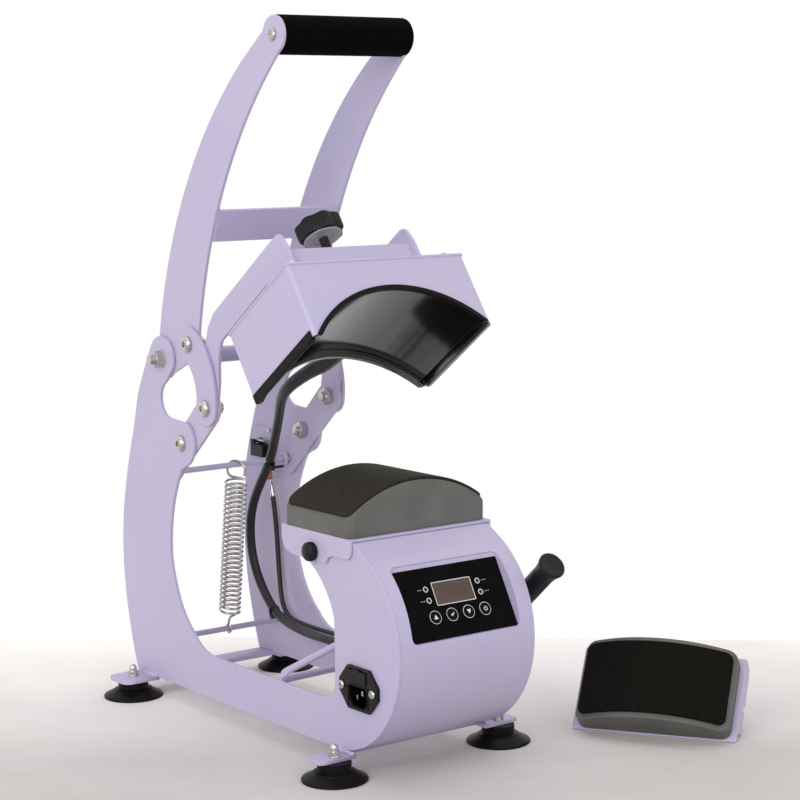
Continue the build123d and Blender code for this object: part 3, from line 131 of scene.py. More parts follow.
bench_corners = [
    VIEW_SIDE * sx * BENCH_HALF + VIEW_BACK * reach
    for sx, reach in ((-1, -BENCH_LEFT), (1, -BENCH_RIGHT), (1, BENCH_FRONT), (-1, BENCH_FRONT))
]
bench = solid_piece("bench_top", bench_corners, [(0, 1, 2, 3)])
bench_cloth = finish_of("bench_cloth", (214, 208, 203), (203, 197, 192), (0.8, 0.95), 900, 5.0, 0.3, 0.0004)
cloth = bench_cloth.node_tree
cloth_shader = cloth.nodes["Principled BSDF"]
# painted light: the cloth's colour is scaled up towards the bench's rear, so the rear is painted brighter
cloth_place = node_of(cloth, "ShaderNodeTexCoord")
reach_back = node_of(cloth, "ShaderNodeVectorMath", "DOT_PRODUCT")
reach_back.inputs[1].default_value = VIEW_BACK
painted_light_ramp = node_of(
    cloth, "ShaderNodeMapRange", From_Min=REAR_LIT_REACH, From_Max=FRONT_PLAIN_REACH, To_Min=REAR_PAINTED_LIGHT, To_Max=FRONT_PAINTED_LIGHT
)
cloth_with_painted_light = node_of(cloth, "ShaderNodeVectorMath", "SCALE")
folds = node_of(cloth, "ShaderNodeTexNoise", Scale=5.0, Detail=2.0, Distortion=1.6)
fold_relief = node_of(cloth, "ShaderNodeBump", Strength=0.5, Distance=0.012)
cloth.links.new(cloth_shader.inputs["Base Color"].links[0].from_socket, cloth_with_painted_light.inputs[0])
cloth.links.new(cloth_shader.inputs["Normal"].links[0].from_socket, fold_relief.inputs["Normal"])
wire_up(
    cloth,
    (cloth_place, "Object", reach_back, 0), (reach_back, "Value", painted_light_ramp, "Value"),
    (painted_light_ramp, "Result", cloth_with_painted_light, "Scale"), (cloth_with_painted_light, "Vector", cloth_shader, "Base Color"),
    (cloth_place, "Object", folds, "Vector"), (folds, "Fac", fold_relief, "Height"),
    (fold_relief, "Normal", cloth_shader, "Normal"),
)
coat(bench, bench_cloth)

room = bpy.data.worlds.new("white_room")
scene.world = room
room.use_nodes = True
air = room.node_tree
air.nodes.clear()
room_out = node_of(air, "ShaderNodeOutputWorld")
room_light = node_of(air, "ShaderNodeBackground", Color=(0.93, 0.95, 1.0, 1.0), Strength=0.67)
room_seen = node_of(air, "ShaderNodeBackground", Color=(1.0, 1.0, 1.0, 1.0), Strength=1.0)
ray = node_of(air, "ShaderNodeLightPath")
sharp_rays = node_of(air, "ShaderNodeMath", "MAXIMUM")
seen_rays = node_of(air, "ShaderNodeMath", "MAXIMUM")
room_mix = node_of(air, "ShaderNodeMixShader")
wire_up(
    air,
    (ray, "Is Camera Ray", sharp_rays, 0), (ray, "Is Transmission Ray", sharp_rays, 1),
    (sharp_rays, "Value", seen_rays, 0), (ray, "Is Glossy Ray", seen_rays, 1),
    (seen_rays, "Value", room_mix, "Fac"), (room_light, "Background", room_mix, 1),
    (room_seen, "Background", room_mix, 2), (room_mix, "Shader", room_out, "Surface"),
)


def soft_box(name, place, towards, width, height, watts, colour=(1, 1, 1)):
    lamp = bpy.data.lights.new(name, "AREA")
    lamp.shape = "RECTANGLE"
    lamp.size = width
    lamp.size_y = height
    lamp.energy = watts
    lamp.color = colour
    stand = bpy.data.objects.new(name, lamp)
    stand.location = place
    stand.rotation_euler = (Vector(towards) - Vector(place)).to_track_quat("-Z", "Y").to_euler()
    scene.collection.objects.link(stand)


soft_box("lamp_high_left", (-2.0, -0.9, 1.05), (0, -0.05, 0.15), 1.4, 1.2, 20, (1.0, 0.98, 0.96))
soft_box("lamp_front", (-0.3, -2.3, 1.2), (0, -0.1, 0.2), 1.2, 0.8, 8)
soft_box("lamp_overhead", (0.1, 0.3, 2.3), (0, 0, 0.2), 2.2, 2.2, 9)

# ---- camera ----
# Stands in front of the press and to its left, a little below the grip, and looks slightly down.
CAMERA_PLACE = Vector((-0.9455, -1.4196, 0.4845))
CAMERA_BACK = Vector((-0.590, -0.7985, 0.1201)).normalized()
CAMERA_ROLL = math.radians(-0.82)
LENS = 92.34
SHIFT = (-0.0011, -0.0103)
level_right = Vector((-CAMERA_BACK.y, CAMERA_BACK.x, 0.0)).normalized()
level_up = CAMERA_BACK.cross(level_right)
camera_right = level_right * math.cos(CAMERA_ROLL) + level_up * math.sin(CAMERA_ROLL)
camera_up = level_up * math.cos(CAMERA_ROLL) - level_right * math.sin(CAMERA_ROLL)
eye = bpy.data.cameras.new("camera")
eye.lens = LENS
eye.sensor_width = 36.0
eye.sensor_fit = "HORIZONTAL"
eye.shift_x, eye.shift_y = SHIFT
eye.clip_end = 50.0
camera = bpy.data.objects.new("camera", eye)
turn = Matrix((camera_right, camera_up, CAMERA_BACK)).transposed()
camera.matrix_world = Matrix.Translation(CAMERA_PLACE) @ turn.to_4x4()
scene.collection.objects.link(camera)
scene.camera = camera

# ---- side plates ----
# Two 3 mm steel plates, laser cut and powder coated in lavender. The cut edges are eased by the blast
# before coating, so every edge takes a fine highlight.
EDGE_EASE = 0.0005

lavender = finish_of(
    "lavender_powder_coat", (196, 185, 211), (189, 182, 213), (0.4, 0.5), 1600, patch=9.0, bump=0.3, depth=0.00012,
)


def shape_object(name, made):
    """Turns a shape into an object of its own."""
    mesh = bpy.data.meshes.new(name)
    made.to_mesh(mesh)
    made.free()
    piece = bpy.data.objects.new(name, mesh)
    scene.collection.objects.link(piece)
    return piece


def copy_of(name):
    """An object with a CAD node's shape, its points merged and its faces joined where they are flat."""
    shape = bmesh.new()
    shape.from_mesh(nodes[name].data)
    bmesh.ops.remove_doubles(shape, verts=shape.verts, dist=2e-6)
    bmesh.ops.dissolve_limit(
        shape, angle_limit=math.radians(0.6), verts=shape.verts, edges=shape.edges, delimit={"NORMAL"}
    )
    return shape_object(name + "_coated", shape)


def ease_edges(piece, ease):
    """Rounds the sharp edges and shades the rest smooth."""
    rounding = piece.modifiers.new("eased_edges", "BEVEL")
    rounding.width = ease
    rounding.segments = 2
    rounding.limit_method = "ANGLE"
    rounding.angle_limit = math.radians(28)
    rounding.use_clamp_overlap = False
    rounding.harden_normals = False
    bake(piece)
    shade_round(piece)
    return piece


def drawn_mesh(piece):
    """The mesh that an object's modifiers or curve draw."""
    bpy.context.view_layer.update()
    return bpy.data.meshes.new_from_object(piece.evaluated_get(bpy.context.evaluated_depsgraph_get()))


def bake(piece):
    """Turns the modified shape into a plain mesh and takes the modifiers off."""
    drawn = drawn_mesh(piece)
    piece.modifiers.clear()
    piece.data = drawn
    return piece


def shade_round(piece, corner=35):
    """Smooth shading that breaks at corners and keeps flat faces flat."""
    piece.data.shade_smooth()
    piece.data.set_sharp_from_angle(angle=math.radians(corner))
    weights = piece.modifiers.new("flat_faces_flat", "WEIGHTED_NORMAL")
    weights.keep_sharp = True
    weights.weight = 90
    bake(piece)
    return piece


def settle(piece, body, replaced=()):
    """Gives a piece its body and hides the CAD nodes it stands for."""
    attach(piece, body)
    if replaced:
        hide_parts(*replaced)
    return piece


def dress_sheet(node, body, material=lavender, ease=EDGE_EASE):
    """The node's own shape with eased edges and its finish, in place of the node."""
    piece = coat(ease_edges(copy_of(node), ease), material)
    return settle(piece, body, (node,))


REAR_TRIM = 0.005       # the rear edge is filed back this far below the pivots
REAR_FRONT = 0.15       # what lies behind this belongs to the rear edge
FULL_LOW, FULL_HIGH = 0.027, 0.060      # it is filed back by two thirds below, and fully above
FADE_HEIGHT = 0.03      # and runs out over this height below its top
COLUMN_SPREAD = 0.008   # the rear column widens this far forward above the foot
COLUMN_FRONT, COLUMN_REAR = 0.045, 0.118
COLUMN_FOOT, COLUMN_MIDDLE, COLUMN_TOP = 0.048, 0.069, 0.13


def trim_rear(piece, top):
    """Moves the rear outline forward up to a height, and spreads the foot of the column forward."""
    for vert in piece.data.vertices:
        y, z = vert.co.y, vert.co.z
        if y > REAR_FRONT and z < top:
            low = 0.65 + 0.35 * min(1.0, max(0.0, (z - FULL_LOW) / (FULL_HIGH - FULL_LOW)))
            high = min(1.0, (top - z) / FADE_HEIGHT)
            vert.co.y -= REAR_TRIM * low * high
        elif COLUMN_FRONT < y < COLUMN_REAR and COLUMN_FOOT < z < COLUMN_TOP:
            end = COLUMN_FOOT if z < COLUMN_MIDDLE else COLUMN_TOP
            vert.co.y -= COLUMN_SPREAD * min(1.0, (z - end) / (COLUMN_MIDDLE - end))


for node, top in (("side_plate_left", 0.27), ("side_plate_right", 0.19)):
    trim_rear(dress_sheet(node, "frame"), top)

# ---- foot strips and their welds ----
# Two flat bars of the same sheet with rounded corners, welded across the feet of the side plates
# with short hand-laid beads, and coated over.
STRIP_FRONT, STRIP_SET_BACK = -0.172, 0.010      # the front bar is narrower ahead of its studs
BAR_SPAN = 0.0635       # between the plates both bars are cut back to these lines
BAR_FRONT, BAR_REAR = -0.149, 0.150
CUT_STEP = 0.0004       # how steeply each cut starts
PLATE_FACE = 0.066
STRIP_TOP = 0.018
STRIP_HALF = 0.015
STRIP_Y = 0.157
strips = dress_sheet("foot_strips", "frame")
bars = bmesh.new()
bars.from_mesh(strips.data)
for x in (-BAR_SPAN - CUT_STEP, -BAR_SPAN, BAR_SPAN, BAR_SPAN + CUT_STEP):
    whole = [*bars.verts, *bars.edges, *bars.faces]
    bmesh.ops.bisect_plane(bars, geom=whole, plane_co=(x, 0, 0), plane_no=(1, 0, 0))
for vert in bars.verts:
    ahead = (-STRIP_Y - vert.co.y) / (-STRIP_Y - STRIP_FRONT)
    if abs(vert.co.x) < BAR_SPAN + 0.0001:
        vert.co.y = max(vert.co.y, BAR_FRONT if vert.co.y < 0 else BAR_REAR)
    elif vert.co.y < 0 and ahead > 0:
        vert.co.y += STRIP_SET_BACK * ahead
bars.to_mesh(strips.data)
bars.free()
BEAD = 0.0018           # radius of one ripple of a weld


def shape_tree(name, sizes):
    """An empty geometry tree with named sizes: the tree, its two ends and its inputs' identifiers."""
    tree = bpy.data.node_groups.new(name, "GeometryNodeTree")
    tree.interface.new_socket("Geometry", in_out="INPUT", socket_type="NodeSocketGeometry")
    inputs = {}
    for size in sizes:
        inputs[size] = tree.interface.new_socket(size, in_out="INPUT", socket_type="NodeSocketFloat").identifier
    tree.interface.new_socket("Geometry", in_out="OUTPUT", socket_type="NodeSocketGeometry")
    return tree, tree.nodes.new("NodeGroupInput"), tree.nodes.new("NodeGroupOutput"), inputs


def end_tree(tree, last, outlet, leave, material):
    """Makes instances real, sets the material and ends the tree."""
    real = node_of(tree, "GeometryNodeRealizeInstances")
    coated = node_of(tree, "GeometryNodeSetMaterial", Material=material)
    wire_up(
        tree, (last, outlet, real, "Geometry"), (real, "Geometry", coated, "Geometry"),
        (coated, "Geometry", leave, "Geometry"),
    )


def bead_tree(ripple, material):
    """Ripples of weld metal laid along a line, one over the next."""
    tree, enter, leave, inputs = shape_tree("weld_bead", ("Step", "Size"))
    line = node_of(tree, "GeometryNodeMeshToCurve")
    spaced = node_of(tree, "GeometryNodeCurveToPoints")
    spaced.mode = "LENGTH"
    blob = node_of(tree, "GeometryNodeObjectInfo", Object=ripple)
    place = node_of(tree, "GeometryNodeInstanceOnPoints")
    spread = node_of(tree, "FunctionNodeRandomValue")
    spread.data_type = "FLOAT_VECTOR"
    spread.inputs["Min"].default_value = (0.85, 0.85, 0.85)
    spread.inputs["Max"].default_value = (1.15, 1.15, 1.15)
    spread.inputs["Seed"].default_value = 4
    sized = node_of(tree, "ShaderNodeVectorMath", "SCALE")
    wire_up(
        tree,
        (enter, "Geometry", line, "Mesh"), (line, "Curve", spaced, "Curve"), (enter, "Step", spaced, "Length"),
        (spaced, "Points", place, "Points"), (spaced, "Rotation", place, "Rotation"),
        (blob, "Geometry", place, "Instance"), (spread, "Value", sized, 0), (enter, "Size", sized, "Scale"),
        (sized, "Vector", place, "Scale"),
    )
    end_tree(tree, place, "Instances", leave, material)
    return tree, inputs


def unit_ball(name, flat):
    """A small ball that other pieces are made of; it isn't shown."""
    ball = bmesh.new()
    bmesh.ops.create_icosphere(ball, subdivisions=2, radius=1.0)
    bmesh.ops.scale(ball, vec=(1, 1, flat), verts=ball.verts)
    mesh = bpy.data.meshes.new(name)
    ball.to_mesh(mesh)
    ball.free()
    mesh.shade_smooth()
    return bpy.data.objects.new(name, mesh)


def grow(piece, tree, inputs, sizes):
    """Runs a geometry tree on a piece with the sizes given, and keeps the result."""
    grown = piece.modifiers.new(tree.name, "NODES")
    grown.node_group = tree
    for size, value in sizes.items():
        grown[inputs[size]] = value
    return bake(piece)


weld_nodes, weld_inputs = bead_tree(unit_ball("weld_ripple", 0.8), lavender)


def weld(name, runs, body, size=BEAD):
    """Beads along straight runs, each given by its two ends."""
    verts = [p for run in runs for p in run]
    piece = solid_piece(name, verts, [])
    piece.data.edges.add(len(runs))
    for n, edge in enumerate(piece.data.edges):
        edge.vertices = (2 * n, 2 * n + 1)
    grow(piece, weld_nodes, weld_inputs, {"Step": 0.55 * size, "Size": size})
    return settle(piece, body)


STUD_END = -0.1605      # the front welds stop short of the narrower end of the bar
strip_runs = []
for side in (-1, 1):
    for end in (-1, 1):
        x = side * (PLATE_FACE + 0.0002)
        first = STUD_END if end < 0 else STRIP_Y - STRIP_HALF + 0.001
        strip_runs.append(((x, first, STRIP_TOP), (x, end * STRIP_Y + STRIP_HALF - 0.001, STRIP_TOP)))
weld("foot_welds", strip_runs, "frame")

# ---- suction feet ----
# Moulded black rubber cups, 52 mm across, with a plain neck under the strip, a rounded shoulder and a
# cone that runs out to a soft rim on the bench. A stud is moulded into each.
FOOT_X = 0.081
CUP_PROFILE = (
    (0.0, 0.0035), (0.012, 0.0030), (0.0205, 0.0012), (0.0230, 0.0), (0.0252, 0.0), (0.0260, 0.0005),
    (0.0261, 0.0014), (0.0256, 0.0023), (0.0176, 0.0062), (0.0171, 0.0068), (0.0166, 0.0074), (0.0156, 0.0078),
    (0.0142, 0.0079), (0.0135, 0.0080), (0.0133, 0.0084), (0.0133, 0.0145), (0.0129, 0.0150), (0.0, 0.0150),
)
black_rubber = finish_of(
    "black_moulded_rubber", (18, 15, 14), (11, 9, 9), (0.34, 0.46), 900, patch=60.0, bump=0.15, specular=0.1
)


def turned_piece(profile, steps=64):
    """A closed shape turned about z from (radius, height) points that run from its foot to its top."""
    made = bmesh.new()
    rings = []
    for radius, height in profile:
        if radius < 1e-7:
            rings.append([made.verts.new((0, 0, height))])
            continue
        ring = []
        for n in range(steps):
            angle = 2 * math.pi * n / steps
            ring.append(made.verts.new((radius * math.cos(angle), radius * math.sin(angle), height)))
        rings.append(ring)
    for low, high in zip(rings, rings[1:]):
        for n in range(steps):
            m = (n + 1) % steps
            if len(low) == 1 and len(high) > 1:
                made.faces.new((low[0], high[m], high[n]))
            elif len(high) == 1 and len(low) > 1:
                made.faces.new((low[n], low[m], high[0]))
            elif len(low) > 1:
                made.faces.new((low[n], low[m], high[m], high[n]))
    bmesh.ops.recalc_face_normals(made, faces=made.faces)
    return made


def set_of(name, part, places, body, material, replaced=(), corner=35):
    """The same part at several places, as one piece that rides on a body."""
    whole = bmesh.new()
    for place in places:
        copy = part.copy()
        bmesh.ops.transform(copy, matrix=place, verts=copy.verts)
        mesh = bpy.data.meshes.new("part")
        copy.to_mesh(mesh)
        whole.from_mesh(mesh)
        copy.free()
        bpy.data.meshes.remove(mesh)
    piece = coat(shape_object(name, whole), material)
    shade_round(piece, corner)
    return settle(piece, body, replaced)


foot_spots = [Matrix.Translation((sx * FOOT_X, sy * STRIP_Y, 0)) for sx in (-1, 1) for sy in (-1, 1)]
cup = turned_piece(CUP_PROFILE, 96)
set_of("rubber_feet", cup, foot_spots, "frame", black_rubber, ("suction_feet",), 60)

# ---- dome nuts on the feet ----
# Small zinc-plated acorn nuts, 7.4 mm across flats, over a plain washer on each foot's stud. They clamp the
# bars to the feet.
bright_zinc = finish_of(
    "bright_zinc", (206, 204, 200), (184, 182, 177), (0.2, 0.28), 500, patch=50.0, bump=0.02, depth=0.00003,
    metallic=1.0,
)
FLATS = 0.0074
NUT_FOOT = 0.0192


def hex_prism(flats, low, high, chamfer):
    """A hexagon with its upper corners turned off."""
    made = bmesh.new()
    rings = []
    for height, inset in ((low, 0.0), (high - chamfer, 0.0), (high, 1.0)):
        ring = []
        for n in range(36):
            angle = 2 * math.pi * n / 36
            side = math.cos((angle % (math.pi / 3)) - math.pi / 6)
            radius = flats / 2 / side
            if inset:
                radius = min(radius, flats / 2 * 0.99)
            ring.append(made.verts.new((radius * math.cos(angle), radius * math.sin(angle), height)))
        rings.append(ring)
    for lower, upper in zip(rings, rings[1:]):
        for n in range(36):
            m = (n + 1) % 36
            made.faces.new((lower[n], lower[m], upper[m], upper[n]))
    made.faces.new(rings[-1])
    made.faces.new(list(reversed(rings[0])))
    return made


def join_shapes(*parts):
    whole = bmesh.new()
    for part in parts:
        mesh = bpy.data.meshes.new("part")
        part.to_mesh(mesh)
        part.free()
        whole.from_mesh(mesh)
        bpy.data.meshes.remove(mesh)
    return whole


acorn_dome = turned_piece(
    [(0.0, 0.0035), (0.0033, 0.0035), (0.0033, 0.0057), (0.0031, 0.0070), (0.0026, 0.0083), (0.0017, 0.0091),
     (0.0008, 0.0095), (0.0, 0.0096)], 36)
acorn_washer = turned_piece(
    [(0.002, -0.0012), (0.0049, -0.0012), (0.0050, -0.0010), (0.0050, -0.0002), (0.0049, 0.0), (0.002, 0.0)], 48)
acorn = join_shapes(hex_prism(FLATS, 0.0, 0.004, 0.0007), acorn_dome, acorn_washer)
nut_spots = [Matrix.Translation((sx * FOOT_X, sy * STRIP_Y, NUT_FOOT)) @ Matrix.Rotation(0.3 * sx + sy, 4, "Z")
             for sx in (-1, 1) for sy in (-1, 1)]
set_of("foot_dome_nuts", acorn, nut_spots, "frame", bright_zinc, ("foot_fixings",), 40)

# ---- drum ----
# The housing of the electronics, rolled from 1.2 mm sheet between the side plates and coated with them.
# A tray for the control panel is folded into its front.
dress_sheet("drum_cover", "frame", ease=0.00035)
dress_sheet("drum_back_plate", "frame", ease=0.0003)

# ---- control panel ----
# A glossy black acrylic sheet over the electronics, glued into the drum's tray and printed in white: a frame
# round the display, a ring at each light and at each key, and three dots beside each light.
PANEL_MIDDLE = Vector((0.0, -0.20507, 0.13918))
PANEL_UP = Vector((0.0, 0.4848, 0.8746))
PANEL_OUT = Vector((0.0, -0.8746, 0.4848))
PANEL_THICK = 0.0015
PRINT = 0.00006
panel_place = Matrix((Vector((1, 0, 0)), PANEL_UP, PANEL_OUT)).transposed().to_4x4()
panel_place.translation = PANEL_MIDDLE
acrylic = finish_of(
    "black_acrylic", (14, 14, 15), (8, 8, 9), (0.04, 0.07), 300, patch=40.0, bump=0.02, depth=0.00003,
    specular=0.03,
)
white_print = finish_of(
    "white_print", (232, 232, 232), (214, 214, 214), (0.3, 0.4), 900, patch=200.0, bump=0.05, depth=0.00002
)
smoked_window = finish_of(
    "smoked_window", (84, 62, 52), (70, 52, 44), (0.08, 0.14), 300, patch=60.0, bump=0.02, depth=0.00002
)
lamp_lens = finish_of(
    "lamp_lens", (30, 26, 26), (18, 16, 17), (0.12, 0.2), 600, patch=90.0, bump=0.02, depth=0.00002
)


def flat_shape(outline, holes=(), low=0.0, high=PRINT):
    """A flat plate in its own x and y, cut by inner outlines that have as many points as the outer one."""
    made = bmesh.new()
    rims = [outline, *holes]
    tops, foots = [], []
    for rim in rims:
        tops.append([made.verts.new((x, y, high)) for x, y in rim])
        foots.append([made.verts.new((x, y, low)) for x, y in rim])
    for top, foot in zip(tops, foots):
        for n in range(len(top)):
            m = (n + 1) % len(top)
            made.faces.new((foot[n], foot[m], top[m], top[n]))
    if holes:
        for rim in (tops, foots):
            for n in range(len(outline)):
                m = (n + 1) % len(outline)
                made.faces.new((rim[0][n], rim[0][m], rim[1][m], rim[1][n]))
    else:
        made.faces.new(tops[0])
        made.faces.new(foots[0])
    bmesh.ops.recalc_face_normals(made, faces=made.faces)
    return made


def circle_points(radius, centre=(0, 0), count=40):
    turn = [2 * math.pi * n / count for n in range(count)]
    return [(centre[0] + radius * math.cos(a), centre[1] + radius * math.sin(a)) for a in turn]


def rounded_box_points(width, height, corner, centre=(0, 0), count=6):
    points = []
    for n, (sx, sy) in enumerate(((1, 1), (-1, 1), (-1, -1), (1, -1))):
        cx, cy = centre[0] + sx * (width / 2 - corner), centre[1] + sy * (height / 2 - corner)
        for k in range(count + 1):
            angle = math.pi / 2 * (n + k / count)
            points.append((cx + corner * math.cos(angle), cy + corner * math.sin(angle)))
    return points


DISPLAY_CENTRE = (0.0, 0.0050)
LIGHT_SPOTS = [(sx * 0.025, row) for sx in (-1, 1) for row in (0.0098, 0.0008)]
KEY_SPOTS = [((n - 1.5) * 0.016, -0.0128) for n in range(4)]
PANEL_DROP = 0.0017     # the sheet leaves a wider gap above it than below
face = PANEL_THICK
under, over = face - 0.0001, face + PRINT       # the print reaches a little into the sheet


def printed_ring(spot, outer, inner, count):
    return flat_shape(circle_points(outer, spot, count), (circle_points(inner, spot, count),), under, over)


display_edge = rounded_box_points(0.0364, 0.0175, 0.0006, DISPLAY_CENTRE)
prints = [flat_shape(rounded_box_points(0.0376, 0.0187, 0.0011, DISPLAY_CENTRE), (display_edge,), under, over)]
for spot in LIGHT_SPOTS:
    prints.append(printed_ring(spot, 0.0023, 0.0017, 40))
    side = 1 if spot[0] > 0 else -1
    for k in range(3):
        mark = (spot[0] + side * (0.0042 + 0.0016 * k), spot[1])
        prints.append(flat_shape(circle_points(0.00032, mark, 12), (), under, over))
for spot in KEY_SPOTS:
    prints.append(printed_ring(spot, 0.0053, 0.0049, 48))
set_of("panel_print", join_shapes(*prints), [panel_place], "frame", white_print)

panel_body = flat_shape(rounded_box_points(0.100, 0.0570, 0.0012, (0, -PANEL_DROP)), (), 0.0, face)
panel_sheet = shape_object("panel_sheet", panel_body)
key_holes = [flat_shape(circle_points(0.0048, spot), (), -0.002, 0.004) for spot in KEY_SPOTS]
cutter = shape_object("panel_cutter", join_shapes(*key_holes))
cut = panel_sheet.modifiers.new("key_holes", "BOOLEAN")
cut.object = cutter
cut.operation = "DIFFERENCE"
cut.solver = "EXACT"
bake(panel_sheet)
bpy.data.objects.remove(cutter)
panel_sheet.data.transform(panel_place)
ease_edges(panel_sheet, 0.00025)
settle(coat(panel_sheet, acrylic), "frame", ("control_panel",))

window_part = flat_shape(display_edge, (), face - 0.0006, face + 0.00003)
set_of("display_window", window_part, [panel_place], "frame", smoked_window, ("display_and_leds",))
lens_parts = []
for spot in LIGHT_SPOTS:
    lens = turned_piece([(0.0, face - 0.001), (0.0016, face - 0.001), (0.0016, face), (0.0012, face + 0.0002),
                         (0.0, face + 0.0003)], 24)
    bmesh.ops.translate(lens, vec=(spot[0], spot[1], 0), verts=lens.verts)
    lens_parts.append(lens)
set_of("panel_lamps", join_shapes(*lens_parts), [panel_place], "frame", lamp_lens)

# ---- keys ----
# Four round push caps of black plastic that stand a little proud of the panel, each printed with a plain
# sign: up, enter, down and power.
key_black = finish_of(
    "key_black", (14, 14, 15), (9, 9, 10), (0.12, 0.2), 700, patch=90.0, bump=0.03, depth=0.00002,
    specular=0.08,
)
KEY_TOP = 0.0021
KEY_SIGNS = {
    "key_1": [[(-0.0019, -0.0016), (0.0019, -0.0016), (0.0, 0.0020)]],
    "key_2": [[(-0.0017, -0.0002), (-0.0011, 0.0005), (-0.0004, -0.0003), (0.0013, 0.0016), (0.0019, 0.0010),
               (-0.0004, -0.0015)]],
    "key_3": [[(0.0019, 0.0016), (-0.0019, 0.0016), (0.0, -0.0020)]],
    "key_4": [[(-0.00028, -0.0003), (0.00028, -0.0003), (0.00028, 0.0019), (-0.00028, 0.0019)]],
}
for number, spot in enumerate(KEY_SPOTS, 1):
    name = f"key_{number}"
    place = panel_place @ Matrix.Translation((spot[0], spot[1], 0))
    cap = turned_piece(
        [(0.0, -0.0008), (0.0058, -0.0008), (0.0058, 0.0), (0.00474, 0.0002), (0.00474, KEY_TOP - 0.0003),
         (0.00462, KEY_TOP - 0.0001), (0.0044, KEY_TOP), (0.0, KEY_TOP)], 48)
    set_of(f"{name}_cap", cap, [place], name, key_black, (name,))
    signs = [flat_shape(sign, (), KEY_TOP - 0.0001, KEY_TOP + PRINT) for sign in KEY_SIGNS[name]]
    if name == "key_4":
        arc = [math.radians(90 + 38 + k * (284 / 20)) for k in range(21)]
        outer = [(0.0018 * math.cos(a), 0.0018 * math.sin(a) - 0.0002) for a in arc]
        inner = [(0.0013 * math.cos(a), 0.0013 * math.sin(a) - 0.0002) for a in reversed(arc)]
        ring = bmesh.new()
        for height in (KEY_TOP - 0.0001, KEY_TOP + PRINT):
            out = [ring.verts.new((x, y, height)) for x, y in outer]
            back = [ring.verts.new((x, y, height)) for x, y in reversed(inner)]
            for k in range(20):
                ring.faces.new((out[k], out[k + 1], back[k + 1], back[k]))
        signs.append(ring)
    set_of(f"{name}_sign", join_shapes(*signs), [place], name, white_print)

# ---- mains inlet ----
# A moulded fused inlet let into the left side plate and held by two countersunk cross-head screws.
# Its fuse drawer pulls out above the socket; the three pins are plated.
satin_black = finish_of(
    "black_plastic", (20, 18, 19), (13, 12, 13), (0.3, 0.42), 1300, patch=60.0, bump=0.15, specular=0.25
)
INLET_CENTRE = Vector((-0.066, -0.1725, 0.0724))
inlet_place = Matrix((Vector((0, -1, 0)), Vector((0, 0, 1)), Vector((-1, 0, 0)))).transposed().to_4x4()
inlet_place.translation = INLET_CENTRE
dress_sheet("inlet_body", "frame", satin_black, 0.0007)
dress_sheet("inlet_pins", "frame", bright_zinc, 0.0003)
dress_sheet("fuse_drawer", "fuse_drawer", satin_black, 0.0004)
lip = flat_shape(rounded_box_points(0.0262, 0.0182, 0.0016, (0, -0.0062)),
                 (rounded_box_points(0.0246, 0.0166, 0.0012, (0, -0.0062)),), 0.0028, 0.0036)
notch = flat_shape([(-0.004, 0.0153), (0.004, 0.0153), (0.0032, 0.0143), (-0.0032, 0.0143)], (), 0.0035, 0.0045)
set_of("inlet_lip", join_shapes(lip, notch), [inlet_place], "frame", satin_black)

# ---- cross bars ----
# Cold-drawn steel rods, one for the spring and two as braces. They are welded between the side plates and
# coated with the frame.
dress_sheet("cross_bars", "frame", ease=0.0002)
ROD_END = 0.0628        # where the rods meet the plates
rod_runs = [
    ((side * ROD_END, front, height), (side * ROD_END, rear, height))
    for side, front, rear, height in (
        (-1, 0.1325, 0.1375, 0.0505), (1, 0.1325, 0.1375, 0.0505),
        (-1, -0.0595, -0.0525, 0.0525), (1, -0.0305, -0.0235, 0.0460),
    )
]
weld("rod_welds", rod_runs, "frame", 0.0012)

# ---- screws and nuts ----
# Zinc-plated button-head screws with hexagon sockets and nylon-ring lock nuts at every pivot, one long
# bolt through the handle's tube, and small cross-head screws for the switch and the inlet.
for node, body in (
    ("frame_screws", "frame"), ("pivot_bolts", "frame"), ("link_head_screws", "links"),
    ("link_foot_screws", "platen_arm"), ("handle_link_nuts", "handle"), ("housing_screws", "heated_platen"),
    ("grip_rod_and_screws", "handle"),
):
    dress_sheet(node, body, bright_zinc, 0.00022)

# ---- handle ----
# Two curved levers cut from the frame's sheet steel. A bent cross bar is welded between them, and a tube at
# the pivot and the grip's rod hold them apart.
for node in ("handle_arm_left", "handle_arm_right", "handle_crossbar", "pivot_tube"):
    dress_sheet(node, "handle")
BAR_END = 0.0592
BAR_LOW, BAR_HIGH = (0.0388, 0.407), (0.0278, 0.433)
bar_runs = [((side * BAR_END, *BAR_LOW), (side * BAR_END, *BAR_HIGH)) for side in (-1, 1)]
weld("handle_welds", bar_runs, "handle", 0.0012)

# ---- grip ----
# A sleeve of black closed-cell foam pushed over the grip's rod. It is soft enough to swallow the end of the
# right lever.
GRIP_Y, GRIP_Z = -0.064, 0.570
foam_black = finish_of(
    "closed_cell_foam", (11, 10, 10), (6, 5, 5), (0.8, 0.95), 2600, patch=220.0, bump=0.55, depth=0.0003,
    specular=0.03,
)
GRIP_LEFT, GRIP_RIGHT, GRIP_R = -0.0597, 0.0642, 0.0156
GRIP_PROFILE = [(0.0, GRIP_LEFT), (0.0147, GRIP_LEFT), (0.0153, GRIP_LEFT + 0.0006), (GRIP_R, GRIP_LEFT + 0.0018)]
GRIP_PROFILE += [(GRIP_R, GRIP_LEFT + 0.0018 + k * 0.0119) for k in range(1, 10)]
GRIP_PROFILE += [(GRIP_R, GRIP_RIGHT - 0.0028), (0.0152, GRIP_RIGHT - 0.0013), (0.0142, GRIP_RIGHT - 0.0004),
                 (0.0128, GRIP_RIGHT), (0.0, GRIP_RIGHT)]
along_x = Matrix(((0, 0, 1, 0), (0, 1, 0, GRIP_Y), (-1, 0, 0, GRIP_Z), (0, 0, 0, 1)))
set_of("foam_grip", turned_piece(GRIP_PROFILE, 72), [along_x], "handle", foam_black, ("grip_foam",), 50)

